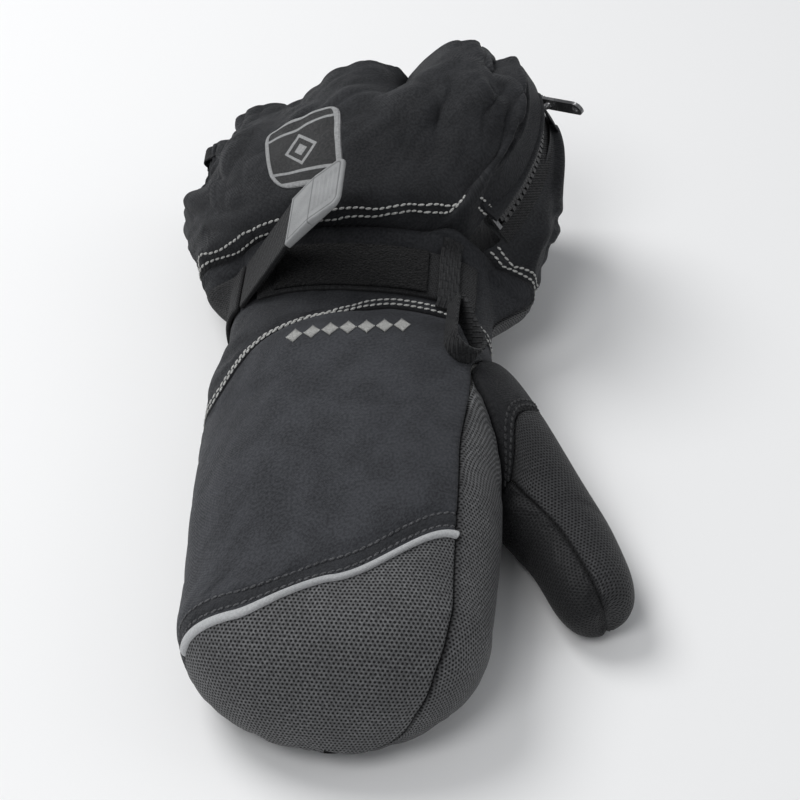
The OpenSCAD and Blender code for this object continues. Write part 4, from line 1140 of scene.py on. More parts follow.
def make_strip(name, place, across, rows, finish, wall=0.0, smooth=True, levels=0):
    """A grid carried by place(a, b, lift), lift being outwards, with a wall on its inner side."""
    grid = [[place(i / across, j / rows, 0) for i in range(across + 1)] for j in range(rows + 1)]
    row = [running_length(line) for line in grid]
    column = [running_length(line) for line in zip(*grid)]
    bm, (seam_layer, run_layer) = new_grid(across, rows, ("seam", "run"))
    uv_of = {}
    for v in bm.verts:
        i, j = round((v.co.x + 0.5) * across), round((v.co.y + 0.5) * rows)
        v.co = grid[j][i] * MM
        v[seam_layer] = min(column[i][j], column[i][-1] - column[i][j])
        v[run_layer] = row[rows // 2][i]
        uv_of[v.index] = (row[rows // 2][i] * MM, column[across // 2][j] * MM)
    write_uv(bm, uv_of)
    bmesh.ops.remove_doubles(bm, verts=bm.verts, dist=WELD)
    piece = keep_piece(name, bm, finish, smooth)
    spot, above = place(*FACE_TEST, 0) * MM, place(*FACE_TEST, 1) * MM
    face_outwards(piece, spot, above - spot)
    if wall:
        add_wall(piece, wall)
    if levels:
        smooth_up(piece, levels)
    return piece


def add_wall(piece, wall):
    solid = piece.modifiers.new("wall", "SOLIDIFY")
    solid.thickness = wall * MM
    solid.offset = -1.0

# %% [markdown]
# ## The gathered hem
#
# The mouth is bound with a folded tape, and an elastic in it gathers the cloth into small
# scallops. The tape is one strip: up the outside, round the end and down the inside. Its waves
# fade at the zip, where it is sewn flat.

# %% Hem finish
# Painted shade: the hem is a darker copy of the shell cloth.
shaded_hem_finish = shell_finish(
    "hem_cloth_painted_shade", (0.0085, 0.0088, 0.0100), (0.0195, 0.0200, 0.0220), 0.00044, 0.07, gather=3.4)
elastic_finish, tree, shader = new_finish("gathered_elastic", Specular_IOR_Level=0.3, Sheen_Weight=0.2)
place = cloth_place(tree)
weave = woven(tree, place, 0.0011, 0.0006)
mottle = mottled(tree, place, 0.0012)
pale = blend_colours(tree, mottle["Fine"], (0.42, 0.43, 0.44), (0.55, 0.56, 0.57))
paint(tree, shader, blend_colours(tree, weave["Gap"], pale, (0.16, 0.16, 0.17)))
roughen(tree, shader, mottle["Fine"], 0.9, 0.75)
bump(tree, shader, weave["Height"], 0.0004)

# %% Hem tape and its elastic
HEM_START = MOUTH_END - 10
HEM_OPEN = (SLOT_HALF + 1.2) / ZIP_TURN_MM
HEM_OUT, HEM_IN, HEM_END = 1.15, 3.35, MOUTH_END - 1.6
HEM_ROUND = (HEM_IN + HEM_OUT) / 2


def hem_profile(b):
    """Distance along the mitten and depth, from the outer edge round the mouth to the inner one."""
    straight = HEM_END - HEM_START
    round_length = math.pi * HEM_ROUND * 0.62
    run = b * (2 * straight + round_length)
    if run < straight:
        return HEM_START + run, -HEM_OUT
    if run < straight + round_length:
        angle = math.pi * (run - straight) / round_length
        return HEM_END + 0.75 * HEM_ROUND * math.sin(angle), HEM_ROUND * (1 - math.cos(angle)) - HEM_OUT
    return HEM_END - (run - straight - round_length), HEM_IN


def hem_place(a, b, lift):
    y, depth = hem_profile(b)
    edge = mix(zip_edge(min(y, ZIP_END)) + HEM_OPEN, zip_edge(min(y, ZIP_END)) + 360 - HEM_OPEN, a)
    calm = ease(min(a, 1 - a) * 14)
    near_end = ease((y - HEM_START) / 8)
    wave = (gathers(edge, GATHERS) - 0.5) * calm
    scallop = 2.6 * (gathers(edge, GATHERS) - 0.7) * calm * near_end
    p = drape_point(edge, min(y, MOUTH_END), depth - lift - 0.8 * wave * near_end)
    return p + Vector((0, scallop + max(0.0, y - MOUTH_END), 0))


hem_tape = make_strip("hem_tape", hem_place, 760, 18, shaded_hem_finish, wall=0.5)


def hem_elastic_place(a, b, lift):
    y = mix(MOUTH_END - 8, MOUTH_END - 3, b)
    open_turn = (10 + 0.8) / ZIP_TURN_MM
    turn = mix(zip_edge(y) + open_turn, zip_edge(y) + 360 - open_turn, a)
    return drape_point(turn, y, 1.35 - lift + 0.12 * (1 + math.sin(math.radians(turn * 60))))


make_strip("hem_elastic_strip", hem_elastic_place, 420, 3, elastic_finish, wall=0.6)


def wrist_elastic_place(a, b, lift):
    y = mix(STRAP_LINE - 6.25, STRAP_LINE + 6.25, b)
    turn = mix(205, 335, a)
    return skin_point(turn, y, 2.25 - lift + 0.15 * (1 + math.sin(math.radians(turn * 24))))


make_strip("wrist_elastic_strip", wrist_elastic_place, 240, 4, elastic_finish, wall=0.6)
print("hem:", len(hem_tape.data.polygons), "faces")

# %% [markdown]
# ## Wadding, membrane and linings
#
# Inside the shell are three bags, each with its own thumb: fleece wadding, a thin waterproof film
# and a brushed lining for the hand. A separate smooth lining faces the gauntlet. A bag is a hand
# sleeve and a thumb sleeve that share the thumb's seam, and a Solidify wall gives its thickness.

# %% Lining finishes
lining_finish, tree, shader = new_finish(
    "brushed_lining", Specular_IOR_Level=0.2, Sheen_Weight=0.15, Sheen_Roughness=0.6)
place = cloth_place(tree)
rows = maths(tree, "SINE", times(tree, add(tree, "SeparateXYZ", {0: place}).outputs[0], 2600.0))
mottle = mottled(tree, place, 0.0008)
shade = maths(tree, "MULTIPLY_ADD", rows, 0.18, mottle["Fine"])
paint(tree, shader, blend_colours(tree, shade, (0.022, 0.023, 0.025), (0.055, 0.057, 0.061)))
roughen(tree, shader, mottle["Fine"], 0.98, 0.85)
bump(tree, shader, shade, 0.0006)

fleece_finish, tree, shader = new_finish("wadding_fleece", Specular_IOR_Level=0.15, Sheen_Weight=0.4)
place = cloth_place(tree)
mottle = mottled(tree, place, 0.0022)
paint(tree, shader, blend_colours(tree, mottle["Fine"], (0.60, 0.60, 0.58), (0.78, 0.78, 0.76)))
roughen(tree, shader, mottle["Fine"], 1.0, 0.85)
bump(tree, shader, mottle["Fine"], 0.0015)

film_finish, tree, shader = new_finish("membrane_film", Specular_IOR_Level=0.5)
place = cloth_place(tree)
mottle = mottled(tree, place, 0.003)
paint(tree, shader, blend_colours(tree, mottle["Fine"], (0.50, 0.51, 0.52), (0.62, 0.63, 0.64)))
roughen(tree, shader, mottle["Broad"], 0.30, 0.48)
bump(tree, shader, mottle["Fine"], 0.0006)


# %% Bags and the cuff's lining
def bag_hand(depth, end):
    def place(a, b, lift):
        y = mix(TIP_Y, end, b)
        first, last = thumb_top_turn(y, depth), 360 + thumb_low_turn(y, depth)
        return skin_point(mix(first, last, a), y, depth - lift)
    return place


def bag_thumb(depth):
    return lambda a, b, lift: thumb_point(360 * a, b, depth - lift)


def make_bag(name, depth, wall, end, finish):
    hand = make_strip(name, bag_hand(depth, end), 84, 72, finish)
    thumb = make_strip(name + "_thumb", bag_thumb(depth), 48, 40, finish)
    joined = bmesh.new()
    joined.from_mesh(hand.data)
    joined.from_mesh(thumb.data)
    bmesh.ops.remove_doubles(joined, verts=joined.verts, dist=5e-5)
    joined.to_mesh(hand.data)
    joined.free()
    bpy.data.objects.remove(pieces_made.pop(name + "_thumb"))
    add_wall(hand, wall)
    return hand


LINER_END = GAUNTLET_SEAM - 1
wadding_bag = make_bag("wadding_bag", 3.0, 2.1, STRAP_NEAR + 2, fleece_finish)
membrane_bag = make_bag("membrane_bag", 5.42, 0.36, LINER_END, film_finish)
lining_bag = make_bag("lining_bag", 6.15, 1.3, LINER_END, lining_finish)


def cuff_place(a, b, lift):
    y = mix(GAUNTLET_SEAM, HEM_START - 0.6, b)
    turn = mix(zip_edge(y) + 10 / ZIP_TURN_MM, zip_edge(y) + 360 - 10 / ZIP_TURN_MM, a)
    soft = 0.25 * (1 + noise.noise(Vector((cos_d(turn) * 3, sin_d(turn) * 3, y / 22))))
    return drape_point(turn, y, 4.4 + soft - lift)


cuff_cloth = make_strip("cuff_cloth", cuff_place, 200, 36, lining_finish, wall=0.6)
for piece in (wadding_bag, membrane_bag, lining_bag, cuff_cloth):
    print(piece.name, len(piece.data.polygons), "faces")

# %% [markdown]
# ## Piping
#
# A cord wrapped in pale reflective tape is caught in the seam between the back and the tip, so
# half of it stands in the valley where both panels roll in. A curve with a bevel could draw it.
# A strip carried once round a circle does the same and keeps a UV map that runs along the tape.

# %% Piping finish and piece
piping_finish, tree, shader = new_finish("reflective_piping", Specular_IOR_Level=0.5, Sheen_Weight=0.15)
place = cloth_place(tree)
weave = woven(tree, place, 0.00042, 0.00036)
mottle = mottled(tree, place, 0.0009)
pale = blend_colours(tree, mottle["Fine"], (0.58, 0.59, 0.60), (0.72, 0.73, 0.74))
paint(tree, shader, blend_colours(tree, times(tree, weave["Gap"], 0.4), pale, (0.30, 0.31, 0.32)))
roughen(tree, shader, mottle["Fine"], 0.55, 0.38)
bump(tree, shader, weave["Height"], 0.0002)
PIPING_R = 1.45


def piping_place(a, b, lift):
    round_end = math.sqrt(max(0.0, 1 - max(0.0, abs(2 * a - 1) - 0.985) ** 2 / 0.015**2))
    radius = (PIPING_R + lift) * max(round_end, 0.02)
    angle = mix(-70, 250, b)
    across = mix(0.002, 0.80, a)
    y = piping_y(across) + radius * cos_d(angle)
    return skin_point(back_turn(across, y), y, 0.1 - radius * sin_d(angle))


make_strip("piping_cord", piping_place, 220, 16, piping_finish)
print("piping:", round(running_length([piping_place(k / 60, 0.5, 0) for k in range(61)])[-1]), "mm long")

# %% [markdown]
# ## Stitches
#
# A row of stitches could be a texture, but real thread stands on the cloth, casts a shadow and
# leans a little, because each stitch is twisted. Every stitch here is a tiny stretched sphere.
# A row follows its line on the cut, is dropped onto the filled cloth with a BVH tree, and is
# stepped along at the stitch's pitch. Pale doubled rows mark the wrist and the gauntlet's seam.


# %% Thread finishes
def thread_finish(name, dark, light, sheen):
    material, tree, shader = new_finish(name, Sheen_Weight=sheen, Specular_IOR_Level=0.35)
    place = add(tree, "TexCoord").outputs["Object"]
    mottle = mottled(tree, place, 0.0005)
    paint(tree, shader, blend_colours(tree, mottle["Fine"], dark, light))
    roughen(tree, shader, mottle["Fine"], 0.85, 0.6)
    bump(tree, shader, mottle["Fine"], 0.0002)
    return material


pale_thread = thread_finish("pale_thread", (0.36, 0.36, 0.35), (0.60, 0.60, 0.58), 0.1)
tonal_thread = thread_finish("tonal_thread", (0.030, 0.031, 0.034), (0.110, 0.112, 0.118), 0.1)
dark_thread = thread_finish("dark_thread", (0.009, 0.0092, 0.0105), (0.036, 0.0366, 0.039), 0.1)


# %% Dropping a line onto cloth
def surface_of(piece):
    """The piece's surface with its modifiers, ready to be asked for nearest points."""
    return BVHTree.FromObject(piece, bpy.context.evaluated_depsgraph_get())


def evenly(points, pitch):
    """Points at an even pitch along a line."""
    lengths = running_length(points)
    count = max(1, int(lengths[-1] / pitch))
    result, k = [], 0
    for step in range(count + 1):
        target = lengths[-1] * step / count
        while k < len(points) - 2 and lengths[k + 1] < target:
            k += 1
        span = lengths[k + 1] - lengths[k]
        result.append(points[k].lerp(points[k + 1], (target - lengths[k]) / span if span > 0 else 0))
    return result


def add_stitch(bm, start, end, normal, width, height, lean, gap):
    """One stitch between two points on the cloth, in metres."""
    ahead = end - start
    length = ahead.length * (1 - gap)
    x = ahead.normalized()
    y = normal.cross(x).normalized()
    x = (x + lean * y).normalized()
    y = normal.cross(x).normalized()
    z = x.cross(y)
    middle = (start + end) / 2 + normal * height * 0.32
    frame_of = Matrix((x * length, y * width, z * height)).transposed().to_4x4()
    frame_of.translation = middle
    bmesh.ops.create_uvsphere(bm, u_segments=8, v_segments=5, radius=0.5, matrix=frame_of)


def stitch_rows(name, target, lines, finish, pitch=2.5, width=0.98, height=0.6, lean=0.2, gap=0.05):
    tree_of = surface_of(target)
    bm = bmesh.new()
    count = 0
    for line in lines:
        spots = [tree_of.find_nearest(p * MM) for p in evenly(line, pitch)]
        for (start, first_normal, *_), (end, second_normal, *_) in zip(spots, spots[1:]):
            if (end - start).length < 0.3 * pitch * MM or (end - start).length > 2.5 * pitch * MM:
                continue
            normal = (first_normal + second_normal).normalized()
            add_stitch(bm, start, end, normal, width * MM, height * MM, lean, gap)
            count += 1
    piece = keep_piece(name, bm, finish)
    print(name, count, "stitches")
    return piece


# %% Sewing the rows
def trimmed(line, start=0, end=0):
    return line[start:len(line) - end]


sewn_rows = [
    ("wrist_seam_stitches", wrist_cloth, "yoke", "near", (1.7, 4.3), pale_thread),
    ("gauntlet_back_stitches", gauntlet_back_cloth, "gauntlet_back", "near", (1.9, 5.6), pale_thread),
    ("gauntlet_under_stitches", gauntlet_under_cloth, "gauntlet_under", "near", (1.9, 5.6), pale_thread),
    ("back_stitches", back_cloth, "back", "near", (3.3, 8.4), tonal_thread),
    ("gore_stitches", thumb_gore_cloth, "gore", "far", (1.8, 4.2), dark_thread),
    ("under_wrist_stitches", wrist_under_cloth, "under", "near", (1.7, 4.3), dark_thread),
]
for name, target, cut, side, distances, finish in sewn_rows:
    rise = (lambda a: 8.5 * (1 - ease((a - 0.12) / 0.42))) if cut == "gauntlet_back" else None
    lines = [trimmed(cuts[cut].line(side, d, rise), 2, 2) for d in distances]
    stitch_rows(name, target, lines, finish, pitch=2.5 if finish is pale_thread else 2.7)

# %% [markdown]
# ## Webbing, pile and grosgrain
#
# The wrist strap has four textures: tight smooth webbing, a black pile for the hooks to grip, the
# hooks themselves and a ribbed grosgrain band. Straps are modelled directly on the form, because
# a remesh or a simulation would erase them.


# %% Strap finishes
def webbing_finish(name, dark, light, warp, weft, depth, twill=0.0):
    material, tree, shader = new_finish(name, Sheen_Weight=0.05, Specular_IOR_Level=0.3)
    place = cloth_place(tree)
    if twill:
        place = add(tree, "Mapping", {"Vector": place, "Rotation": (0, 0, twill)}).outputs[0]
    weave = woven(tree, place, warp, weft)
    mottle = mottled(tree, place, 0.0012)
    cloth = blend_colours(tree, mottle["Fine"], dark, light)
    paint(tree, shader, blend_colours(tree, times(tree, weave["Gap"], 0.7), cloth, (0.004, 0.004, 0.005)))
    roughen(tree, shader, mottle["Fine"], 0.85, 0.65)
    bump(tree, shader, weave["Height"], depth)
    return material


BAND_SHADES = (0.0095, 0.0098, 0.0108), (0.0215, 0.0220, 0.0235)
belt_finish = webbing_finish(
    "strap_webbing", (0.0085, 0.0088, 0.0098), (0.0185, 0.0190, 0.0205), 0.0005, 0.0011, 0.0003)
grosgrain_finish = webbing_finish("grosgrain", *BAND_SHADES, 0.0011, 0.0045, 0.0005)
loop_finish = webbing_finish("twill_tape", *BAND_SHADES, 0.0010, 0.0060, 0.0005, math.radians(38))
zip_tape_finish = webbing_finish(
    "zip_tape_weave", (0.0060, 0.0062, 0.0070), (0.0140, 0.0143, 0.0155), 0.0007, 0.0007, 0.0003)


def fuzzy_finish(name, size):
    material, tree, shader = new_finish(name, Sheen_Weight=0.06, Sheen_Roughness=0.7, Specular_IOR_Level=0.1)
    place = cloth_place(tree)
    mottle = mottled(tree, place, size)
    tuft = add(tree, "TexVoronoi", {"Vector": place, "Scale": 0.6 / size}).outputs["Distance"]
    shade = times(tree, mottle["Fine"], ramp(tree, tuft, 0.0, 0.7, 1.0, 0.3))
    paint(tree, shader, blend_colours(tree, shade, (0.0012, 0.0012, 0.0015), (0.0110, 0.0112, 0.0125)))
    roughen(tree, shader, mottle["Fine"], 1.0, 0.9)
    bump(tree, shader, shade, 0.0012)
    return material


pile_finish = fuzzy_finish("loop_pile", 0.0010)
hook_finish = fuzzy_finish("hook_tape", 0.0006)


# %% Belt, pile and anchor
def round_edges(share, width, radius):
    """How far a strap's face drops beside its edges, at a share of its width."""
    return rolled_in(min(share, 1 - share) * width, radius)


def belt_like(turns, lines, height, width, bumps=None, swell=0.0):
    def place(a, b, lift):
        turn, y = mix(*turns, a), mix(*lines, b)
        rise = height - round_edges(b, width, 0.5) * 0.8 + swell * math.sin(math.pi * b)
        if bumps:
            rise += bumps(a, b)
        return skin_point(turn, y, -rise - lift, folds=0.0)
    return place


def pile_bumps(a, b):
    """Tufts of different heights, and an edge that frays a little."""
    p = Vector((a * 52, b * 23, 0))
    tuft = noise.noise(p * 1.9) + 0.5 * noise.noise(p * 4.1)
    return 0.28 * tuft - 0.5 * rolled_in(min(a, 1 - a) * 50, 1.0)


make_strip(
    "belt_strap", belt_like((36, 136.5), (STRAP_NEAR, STRAP_FAR), 1.7, 25, swell=0.15),
    90, 16, belt_finish, wall=1.1)
make_strip(
    "pile_patch", belt_like((66, 125), (STRAP_NEAR + 1, STRAP_FAR - 1), 3.1, 23, pile_bumps),
    210, 92, pile_finish, wall=1.1)
make_strip(
    "anchor_strap", belt_like((153.5, 250), (STRAP_NEAR, STRAP_FAR), 2.5, 25, swell=0.1),
    80, 16, belt_finish, wall=1.5)


# %% Keeper
KEEPER_NEAR, KEEPER_FAR = STRAP_NEAR - 4, STRAP_FAR + 4


def keeper_place(a, b, lift):
    turn = mix(55 - 7 / 1.7 * 1.35, 55 + 7 / 1.7 * 1.35, a)
    y = mix(KEEPER_NEAR, KEEPER_FAR, b)
    foot = min(y - KEEPER_NEAR, KEEPER_FAR - y)
    rise = mix(1.4, 3.0, ease(foot / 3.2)) + 0.12 * noise.noise(Vector((a * 2, b * 5, 0)))
    return skin_point(turn, y, -rise - lift, folds=0.0)


make_strip("keeper_band", keeper_place, 14, 60, grosgrain_finish, wall=0.9)

# %% [markdown]
# ## The strap's tongue and its moulded tab
#
# The strap lies folded open: a tongue rises from the little-finger side and ends in a soft grey
# tab with a ridge across it and grip ribs on its outer half. The tab could be a box with a bevel.
# Instead a fine grid takes its rounded outline, ridge, border groove and ribs, and is extruded
# down, so every edge has its own small radius.

# %% Tongue and hooks
HINGE = Vector((-47.6639, 97.5, 46.5275))
TONGUE_RISE, TAB_BEND, TONGUE_LENGTH, STRAP_WIDTH = 60.0, 11.0, 35.0, 25.0


def turned_frame(origin, rise):
    """Place function of a frame that is turned up by an angle from the X axis."""
    def place(x, y, z):
        return origin + Vector((
            x * cos_d(rise) - z * sin_d(rise), y, x * sin_d(rise) + z * cos_d(rise),
        ))
    return place


in_tongue = turned_frame(HINGE, TONGUE_RISE)
in_tab = turned_frame(in_tongue(TONGUE_LENGTH, 0, 0), TONGUE_RISE - TAB_BEND)


def tongue_place(a, b, lift):
    x = mix(-0.75, TONGUE_LENGTH + 6.5, a)
    y = mix(-0.5, 0.5, b) * STRAP_WIDTH
    z = 0.8 - round_edges(b, STRAP_WIDTH, 0.45) * 0.7 - 0.6 * rolled_in(x + 0.75, 0.8) + lift
    return in_tongue(x, y, z) if x < TONGUE_LENGTH else in_tab(x - TONGUE_LENGTH, y, z)


make_strip("tongue_strap", tongue_place, 84, 24, belt_finish, wall=1.5)


def hook_place(a, b, lift):
    tuft = noise.noise(Vector((a * 60, b * 60, 3.0)))
    x, y = mix(9, TONGUE_LENGTH - 2, a), mix(-0.5, 0.5, b) * (STRAP_WIDTH - 2)
    return in_tongue(x, y, -1.75 - 0.1 * tuft - lift)


make_strip("hook_tape", hook_place, 96, 92, hook_finish, wall=0.85)

# %% Tab finish
tab_finish, tree, shader = new_finish("moulded_tab", Specular_IOR_Level=0.4)
place = add(tree, "TexCoord").outputs["Object"]
mottle = mottled(tree, place, 0.0006)
groove = attribute(tree, "groove")
grey = blend_colours(tree, mottle["Broad"], (0.255, 0.26, 0.262), (0.30, 0.305, 0.308))
wear_and_painted_shade = blend_colours(tree, times(tree, mottle["Fine"], 0.25), grey, (0.20, 0.205, 0.21))
# Painted shade: the border groove and the groove at the ridge are darkened.
paint(tree, shader, blend_colours(tree, times(tree, groove, 0.8), wear_and_painted_shade, (0.05, 0.052, 0.055)))
roughen(tree, shader, mottle["Fine"], 0.62, 0.50)
bump(tree, shader, mottle["Fine"], 0.00012)

# %% Tab
TAB_LENGTH, TAB_HALF, TAB_R, TAB_MIDDLE = 31.0, 13.0, 4.0, 15.5
TAB_CELL, RIB_HALF = 0.25, STRAP_WIDTH * 0.34


def tab_border(x, y):
    """Distance inside the tab's outline."""
    dx, dy = TAB_LENGTH - x, TAB_HALF - abs(y)
    edge = min(dx, dy, x - 1.5)
    if dx < TAB_R and dy < TAB_R:
        edge = min(edge, TAB_R - math.hypot(TAB_R - dx, TAB_R - dy))
    return edge


def tab_top(x, y):
    """Height and groove mask of the tab's upper face."""
    past = (x - TAB_MIDDLE) / (TAB_LENGTH - TAB_MIDDLE)
    z = mix(1.4, 2.4, x / TAB_MIDDLE) if x < TAB_MIDDLE else mix(2.4, 0.8, past)
    edge = tab_border(x, y)
    groove = math.exp(-(((edge - 1.5) / 0.28) ** 2)) + math.exp(-(((x - TAB_MIDDLE) / 0.26) ** 2))
    rib = 0.0
    beside = RIB_HALF - abs(y)
    if TAB_MIDDLE + 1.6 < x < TAB_LENGTH - 2.4 and beside > 0:
        phase = ((x - TAB_MIDDLE - 1.6) / 2.3) % 1
        rib = 0.45 * ease(math.sin(math.pi * min(1, phase / 0.62)) * 1.8) * ease(beside / 0.7)
    return z + rib - 0.28 * min(1, groove) - rolled_in(max(0.0, edge), 0.7) * 0.85, min(1, groove)


tab_bm, (groove_layer,) = new_grid(
    round((TAB_LENGTH - 1.5) / TAB_CELL), round(2 * TAB_HALF / TAB_CELL), ("groove",))
for v in tab_bm.verts:
    x, y = mix(1.5, TAB_LENGTH, v.co.x + 0.5), 2 * TAB_HALF * v.co.y
    corner = Vector((TAB_LENGTH - TAB_R, math.copysign(TAB_HALF - TAB_R, y)))
    if x > corner.x and abs(y) > abs(corner.y):
        reach = max(x - corner.x, abs(y) - abs(corner.y))
        away = Vector((x, y)) - corner
        x, y = corner + away.normalized() * reach if away.length > 0 else corner
    z, v[groove_layer] = tab_top(x, y)
    v.co = (x, y, z)
upper = list(tab_bm.faces)
lower = bmesh.ops.extrude_face_region(tab_bm, geom=upper)["geom"]
for v in (g for g in lower if isinstance(g, bmesh.types.BMVert)):
    v.co.z = mix(-1.4, -0.8, v.co.x / TAB_LENGTH) + 0.85 * rolled_in(max(0.0, tab_border(v.co.x, v.co.y)), 0.5)
    v[groove_layer] = 0.0
bmesh.ops.recalc_face_normals(tab_bm, faces=tab_bm.faces)
for v in tab_bm.verts:
    v.co = in_tab(*v.co) * MM
grip_tab = keep_piece("grip_tab", tab_bm, tab_finish)
print("tab:", len(grip_tab.data.polygons), "faces")

# %% [markdown]
# ## The hang loop
#
# A twill tape folded to a drop hangs from the keeper's foot towards the fingers. Its centre line
# is two straight legs and a round end, and the tape's width stands square to that line.

# %% Hang loop
LOOP_ROOT = Vector((30.5335, 79, 56.7079))
LOOP_AHEAD = Vector((0.207, -0.974, -0.087)).normalized()
LOOP_SIDE = Vector((0.82, 0.221, -0.528)).normalized()
LOOP_WIDE = LOOP_AHEAD.cross(LOOP_SIDE)
LOOP_BIG, LOOP_SMALL, LOOP_WIDTH = 6.4, 1.1, 8.0
LOOP_LEAN = math.degrees(math.asin((7.0 - 1.7) / 20.0))
LEG = 20.0 * cos_d(LOOP_LEAN)


def loop_line(share):
    """Point and outward direction of the tape's middle line, from leg to leg."""
    arc = math.radians(180 + 2 * LOOP_LEAN) * LOOP_BIG
    run = share * (2 * LEG + arc)
    side = 1
    if run > LEG + arc:
        run, side = 2 * LEG + arc - run, -1
    if run <= LEG:
        out = (-sin_d(LOOP_LEAN), cos_d(LOOP_LEAN))
        x, y = run * cos_d(LOOP_LEAN) + LOOP_SMALL * out[0], run * sin_d(LOOP_LEAN) + LOOP_SMALL * out[1]
        return (x, side * y), (out[0], side * out[1])
    turn = 90 + LOOP_LEAN - math.degrees((run - LEG) / LOOP_BIG)
    out = (cos_d(turn), sin_d(turn))
    return (20 + LOOP_BIG * out[0], LOOP_BIG * out[1]), out


def loop_place(a, b, lift):
    (x, y), out = loop_line(a)
    edge = round_edges(b, LOOP_WIDTH, 0.4) * 0.5
    soft = 0.25 * noise.noise(Vector((a * 4, b * 1.5, 1.0)))
    reach = 0.5 - edge + lift + soft * 0.4
    flat = LOOP_AHEAD * (x + out[0] * reach) + LOOP_SIDE * (y + out[1] * reach)
    return LOOP_ROOT + flat + LOOP_WIDE * LOOP_WIDTH * b


make_strip("hang_tape", loop_place, 150, 10, loop_finish, wall=1.0)
print("hang loop's tape:", round(running_length([loop_place(k / 80, 0.5, 0) for k in range(81)])[-1]), "mm long")

# %% [markdown]
# ## The zip
#
# The zip bows along the thumb side of the gauntlet. Teeth, stops, slider and puller are hard, so
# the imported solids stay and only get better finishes. The tapes, the pleat behind them and the
# rolled flap beside them are cloth, and are carried on the zip's own arc.


# %% Tapes, pleat and flap
def on_zip(radius, angle, across):
    return ZIP_CENTRE + radius * (cos_d(angle) * ZIP_OUT + sin_d(angle) * Vector((0, 1, 0))) + across * ZIP_ACROSS


def zip_strip(path, first, last):
    """A strip with a cross-section of (radius, across) points, swept along the zip."""
    corners = [Vector((across, radius, 0)) for radius, across in path]
    lengths = running_length(corners)

    def place(a, b, lift):
        target = b * lengths[-1]
        k = max(i for i in range(len(corners) - 1) if lengths[i] <= target + 1e-9)
        t = (target - lengths[k]) / (lengths[k + 1] - lengths[k])
        p = corners[k].lerp(corners[k + 1], t)
        step = (corners[k + 1] - corners[k]).normalized()
        return on_zip(p.y + lift * step.x, mix(first, last, a), p.x - lift * step.y)
    return place


ZIP_FIRST, ZIP_LAST = -41.8103, 20.3175
FLAP_END, PLEAT_END, TAPE_RADIUS = 12.4, 11.6, 70.4
roll_path = [
    (74.4 + 1.35 * sin_d(angle), 4.85 + 1.35 * cos_d(angle)) for angle in range(70, 301, 23)
]
flap_path = [
    (71.9, 13.6), (72.7, 13.0), (73.4, 12.2), (73.75, 11.3), (73.5, 10.4), (73.0, 9.7), (73.1, 8.9), (73.9, 7.8),
    (74.8, 6.7), (75.5, 5.8),
] + roll_path + [(73.0, 6.2), (72.4, 7.4), (72.2, 9.0)]
for name, inner, outer in (("tape_back", 10, 1.9), ("tape_under", -1.9, -10)):
    path = [(TAPE_RADIUS, inner), (TAPE_RADIUS, outer)]
    make_strip(name, zip_strip(path, ZIP_FIRST, ZIP_LAST), 120, 12, zip_tape_finish, wall=0.45)
pleat_path = [(68.8, 9.9), (67.0, 6.5), (65.2, 1.2), (65.2, -1.2), (67.0, -6.5), (68.8, -9.9)]
make_strip("zip_pleat", zip_strip(pleat_path, ZIP_FIRST, PLEAT_END), 90, 24, lining_finish, wall=0.4)
rolled_flap = make_strip("rolled_flap", zip_strip(flap_path, ZIP_FIRST, FLAP_END), 150, 60, shaded_gauntlet_finish)
flap_line = [on_zip(73.2, mix(ZIP_FIRST + 1, FLAP_END - 1, k / 60), 9.5) for k in range(61)]
stitch_rows("flap_stitches", rolled_flap, [flap_line], dark_thread, pitch=2.6)

# %% Zip finishes
teeth_finish, tree, shader = new_finish("moulded_teeth", Specular_IOR_Level=0.5)
place = add(tree, "TexCoord").outputs["Object"]
mottle = mottled(tree, place, 0.0006)
paint(tree, shader, blend_colours(tree, mottle["Fine"], (0.012, 0.012, 0.013), (0.030, 0.030, 0.032)))
roughen(tree, shader, mottle["Fine"], 0.42, 0.28)
bump(tree, shader, mottle["Fine"], 0.00008)

metal_finish, tree, shader = new_finish("dark_zip_metal", Specular_IOR_Level=0.5)
place = add(tree, "TexCoord").outputs["Object"]
mottle = mottled(tree, place, 0.0009)
stretched = add(tree, "Mapping", {"Vector": place, "Scale": (1500, 250, 900)}).outputs[0]
scratch = add(tree, "TexNoise", {"Vector": stretched, "Scale": 1.0, "Detail": 2.0}).outputs[0]
wear = ramp(tree, maths(tree, "ADD", scratch, times(tree, mottle["Broad"], 0.35)), 0.55, 0.95)
paint(tree, shader, blend_colours(tree, wear, (0.035, 0.035, 0.037), (0.24, 0.24, 0.245)))
tree.links.new(ramp(tree, wear, 0, 1, 0.0, 0.9), shader.inputs["Metallic"])
tree.links.new(ramp(tree, scratch, 0.3, 0.7, 0.42, 0.26), shader.inputs["Roughness"])
bump(tree, shader, scratch, 0.00004)

for node, finish in (
    ("zip_teeth_back", teeth_finish), ("zip_teeth_under", teeth_finish), ("zip_stops", metal_finish),
    ("zip_slider", metal_finish), ("zip_puller", metal_finish),
):
    for material_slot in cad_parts[node].material_slots:
        material_slot.material = finish
print("zip flap:", len(rolled_flap.data.polygons), "faces")

# %% [markdown]
# ## Badge and embroidery
#
# A small woven badge is sewn on the gauntlet's back, and a row of satin-stitched lozenges runs
# beside the wrist seam. Both are plain geometry, made for this lesson. They are laid on the filled
# cloth with its BVH tree, so they follow its folds.

